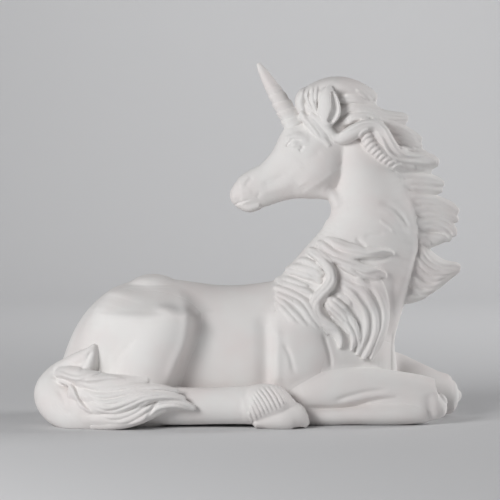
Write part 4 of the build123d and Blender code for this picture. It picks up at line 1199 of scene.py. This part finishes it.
def bisque():
    """Once-fired white earthenware: matt, faintly mottled, with a shallow grain."""
    material = bpy.data.materials.new("white_bisque_earthenware")
    material.use_nodes = True
    tree = material.node_tree
    tree.nodes.clear()
    place = node(tree, "ShaderNodeTexCoord").outputs["Object"]
    blush = node(tree, "ShaderNodeTexNoise", [("Vector", place)], Scale=1 / (BLUSH_MM * MM), Detail=2.0)
    ramp = node(tree, "ShaderNodeValToRGB", [("Fac", blush.outputs["Fac"])])
    ramp.color_ramp.elements[0].position = BLUSH_STARTS
    ramp.color_ramp.elements[0].color = linear(BISQUE_WHITE)
    ramp.color_ramp.elements[1].position = BLUSH_FULL
    ramp.color_ramp.elements[1].color = linear(BISQUE_WARM)
    grain = node(tree, "ShaderNodeTexNoise", [("Vector", place)], Scale=1 / (GRAIN_MM * MM), Detail=3.0)
    bump = node(
        tree,
        "ShaderNodeBump",
        [("Height", grain.outputs["Fac"])],
        Strength=GRAIN_STRENGTH,
        Distance=GRAIN_DEPTH_MM * MM,
    )
    shader = node(
        tree,
        "ShaderNodeBsdfPrincipled",
        [("Base Color", ramp.outputs["Color"]), ("Normal", bump.outputs["Normal"])],
        Roughness=BISQUE_ROUGHNESS,
        IOR=BISQUE_IOR,
        Metallic=0.0,
    )
    node(tree, "ShaderNodeOutputMaterial", [("Surface", shader.outputs["BSDF"])])
    return material


clay_finish = bisque()
print("material", clay_finish.name)

# %% [markdown]
# ## Sculpting
#
# The hair, face and hoof need a finer grid than the smooth flanks. So there are five blocks of clay, each
# with its own spacing, and each piece is taken from the block that suits it.

# %% Sculpt and cut into pieces
COARSE = 1.0
DEEP = np.array([0.0, 24.0, 0.0])
DEEPER = np.array([0.0, 34.0, 0.0])
# spacing and two opposite corners, in millimetres
BLOCKS = {
    "top": (0.55, spot(222, 372, 0) - DEEPER, spot(470, 56, 0) + DEEP),
    "face": (0.38, spot(222, 222, 0) - DEEP, spot(352, 54, 0) + DEEP),
    "hoof": (0.4, spot(238, 432, -40) - DEEP, spot(314, 378, -40) + DEEP),
    "tail": (0.55, np.array([-130.0, -64.0, -1.5]), np.array([10.0, -4.0, 56.0])),
    "body": (0.65, np.array([-130.0, -60.0, -2.0]), np.array([124.0, 60.0, 92.0])),
}
TAKEN_FROM = {
    "face": ("head", "horn", "near_ear", "far_ear", "forelock", "brow_lock"),
    "hoof": ("near_hind_hoof", "near_hind_feather"),
    "tail": ("tail_",),
    "top": ("swept_lock", "mane_", "neck_shell", "shoulder_lock_", "far_shoulder_lock_"),
    "body": ("",),
}


def block_of(name):
    """The block that a piece is taken from."""
    return next(block for block, starts in TAKEN_FROM.items() if name.startswith(starts))


made = {}
for block, (spacing, low, high) in BLOCKS.items():
    clay = Clay(low, high, spacing * COARSE)
    for number, name in enumerate(NAMES):
        for limb in forms[name]:
            clay.add(number, limb)
    for relief, starts, both in RELIEFS:
        clay.press(relief, [i for i, name in enumerate(NAMES) if name.startswith(starts)], both)
    floor = -clay.axes[2][None, None, :]
    clay.skin = np.maximum(clay.skin, floor.astype(np.float32))
    for number, name in enumerate(NAMES):
        if block_of(name) != block:
            continue
        part, field = clay.piece_field(number)
        corner = np.array([axis[cut.start] for axis, cut in zip(clay.axes, part)])
        points, squares = surface_net(field, corner, clay.spacing)
        points, squares = main_islands(points, squares)
        made[name] = new_mesh(f"bisque_{name}", points, squares)
    faces = sum(len(piece.data.polygons) for piece in made.values())
    print(block, clay.skin.shape, "pieces", len(made), "faces", faces)

for name, piece in made.items():
    piece.data.materials.append(clay_finish)
    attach(piece, "root")
    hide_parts(*NODES[name])

# %% [markdown]
# ## Studio
#
# The figurine stands on a pale sweep. A soft lamp close by on the left models the forms, and because it is
# close, its light falls off towards the knees. A weak lamp on the right keeps the shadows open, one beside
# the figurine edges the crest and the hair, and one lights the backdrop only. White clay clips easily, so
# the lamps stay low.

# %% Floor and lamps
SWEEP_FRONT = -1.2
SWEEP_TURN = 0.9
SWEEP_RADIUS = 0.5
SWEEP_TOP = 2.6
SWEEP_SIDE = 3.0
SWEEP_STEPS = 12
SWEEP_PAINT = "D9D9DA"
AIR_COLOUR = "E6E7EA"
AIR_STRENGTH = 0.17
# name, place and target in metres, side in metres, power in watts
LAMPS = (
    ("key", (-0.58, -0.66, 0.42), (-0.02, 0, 0.09), 0.36, 5.4),
    ("fill", (1.1, -0.9, 0.5), (0, 0, 0.08), 0.9, 0.6),
    ("rim", (1.3, 0.3, 0.5), (0, 0, 0.1), 0.5, 10.0),
    ("backdrop", (0, 0.5, 0.9), (0, 1.4, 0.45), 0.6, 3.8),
)


def plain(name, code):
    """A matt studio paint that shows pale to the camera but sends little light back."""
    material = bpy.data.materials.new(name)
    material.use_nodes = True
    tree = material.node_tree
    tree.nodes.clear()
    shader = node(tree, "ShaderNodeBsdfDiffuse", Color=linear(code))
    node(tree, "ShaderNodeOutputMaterial", [("Surface", shader.outputs["BSDF"])])
    return material


def sweep():
    """A floor that curves up into a backdrop."""
    profile = [(SWEEP_FRONT, 0.0), (SWEEP_TURN, 0.0)]
    for step in range(1, SWEEP_STEPS + 1):
        angle = math.radians(90 * step / SWEEP_STEPS)
        profile.append((SWEEP_TURN + SWEEP_RADIUS * math.sin(angle), SWEEP_RADIUS * (1 - math.cos(angle))))
    profile.append((SWEEP_TURN + SWEEP_RADIUS, SWEEP_TOP))
    mesh = bpy.data.meshes.new("studio_sweep")
    vertices = [(x, y, z) for y, z in profile for x in (-SWEEP_SIDE, SWEEP_SIDE)]
    faces = [(2 * i, 2 * i + 1, 2 * i + 3, 2 * i + 2) for i in range(len(profile) - 1)]
    mesh.from_pydata(vertices, [], faces)
    mesh.shade_smooth()
    obj = bpy.data.objects.new("studio_sweep", mesh)
    bpy.context.scene.collection.objects.link(obj)
    obj.data.materials.append(plain("studio_paint", SWEEP_PAINT))


def lamp(name, place, target, size, power):
    """A square soft lamp that points at a target."""
    light = bpy.data.lights.new(name, "AREA")
    light.size = size
    light.energy = power
    obj = bpy.data.objects.new(name, light)
    obj.location = place
    obj.rotation_euler = (Vector(target) - Vector(place)).to_track_quat("-Z", "Y").to_euler()
    bpy.context.scene.collection.objects.link(obj)


sweep()
for row in LAMPS:
    lamp(*row)
world = bpy.data.worlds.new("studio_air")
bpy.context.scene.world = world
world.use_nodes = True
air = world.node_tree.nodes["Background"]
air.inputs["Color"].default_value = linear(AIR_COLOUR)
air.inputs["Strength"].default_value = AIR_STRENGTH

# %% Camera at the traced view
SENSOR_MM = 36.0
camera = bpy.data.objects.new("camera", bpy.data.cameras.new("camera"))
camera.data.sensor_width = SENSOR_MM
camera.data.lens = SENSOR_MM * FOCAL_PIXELS / PICTURE_SIDE
camera.location = (EYE + SHIFT) * MM
camera.rotation_euler = Vector(AIM).to_track_quat("-Z", "Y").to_euler()
bpy.context.scene.collection.objects.link(camera)
bpy.context.scene.camera = camera
bpy.context.scene.view_settings.view_transform = "Standard"
print("lens", round(camera.data.lens, 1), "mm")
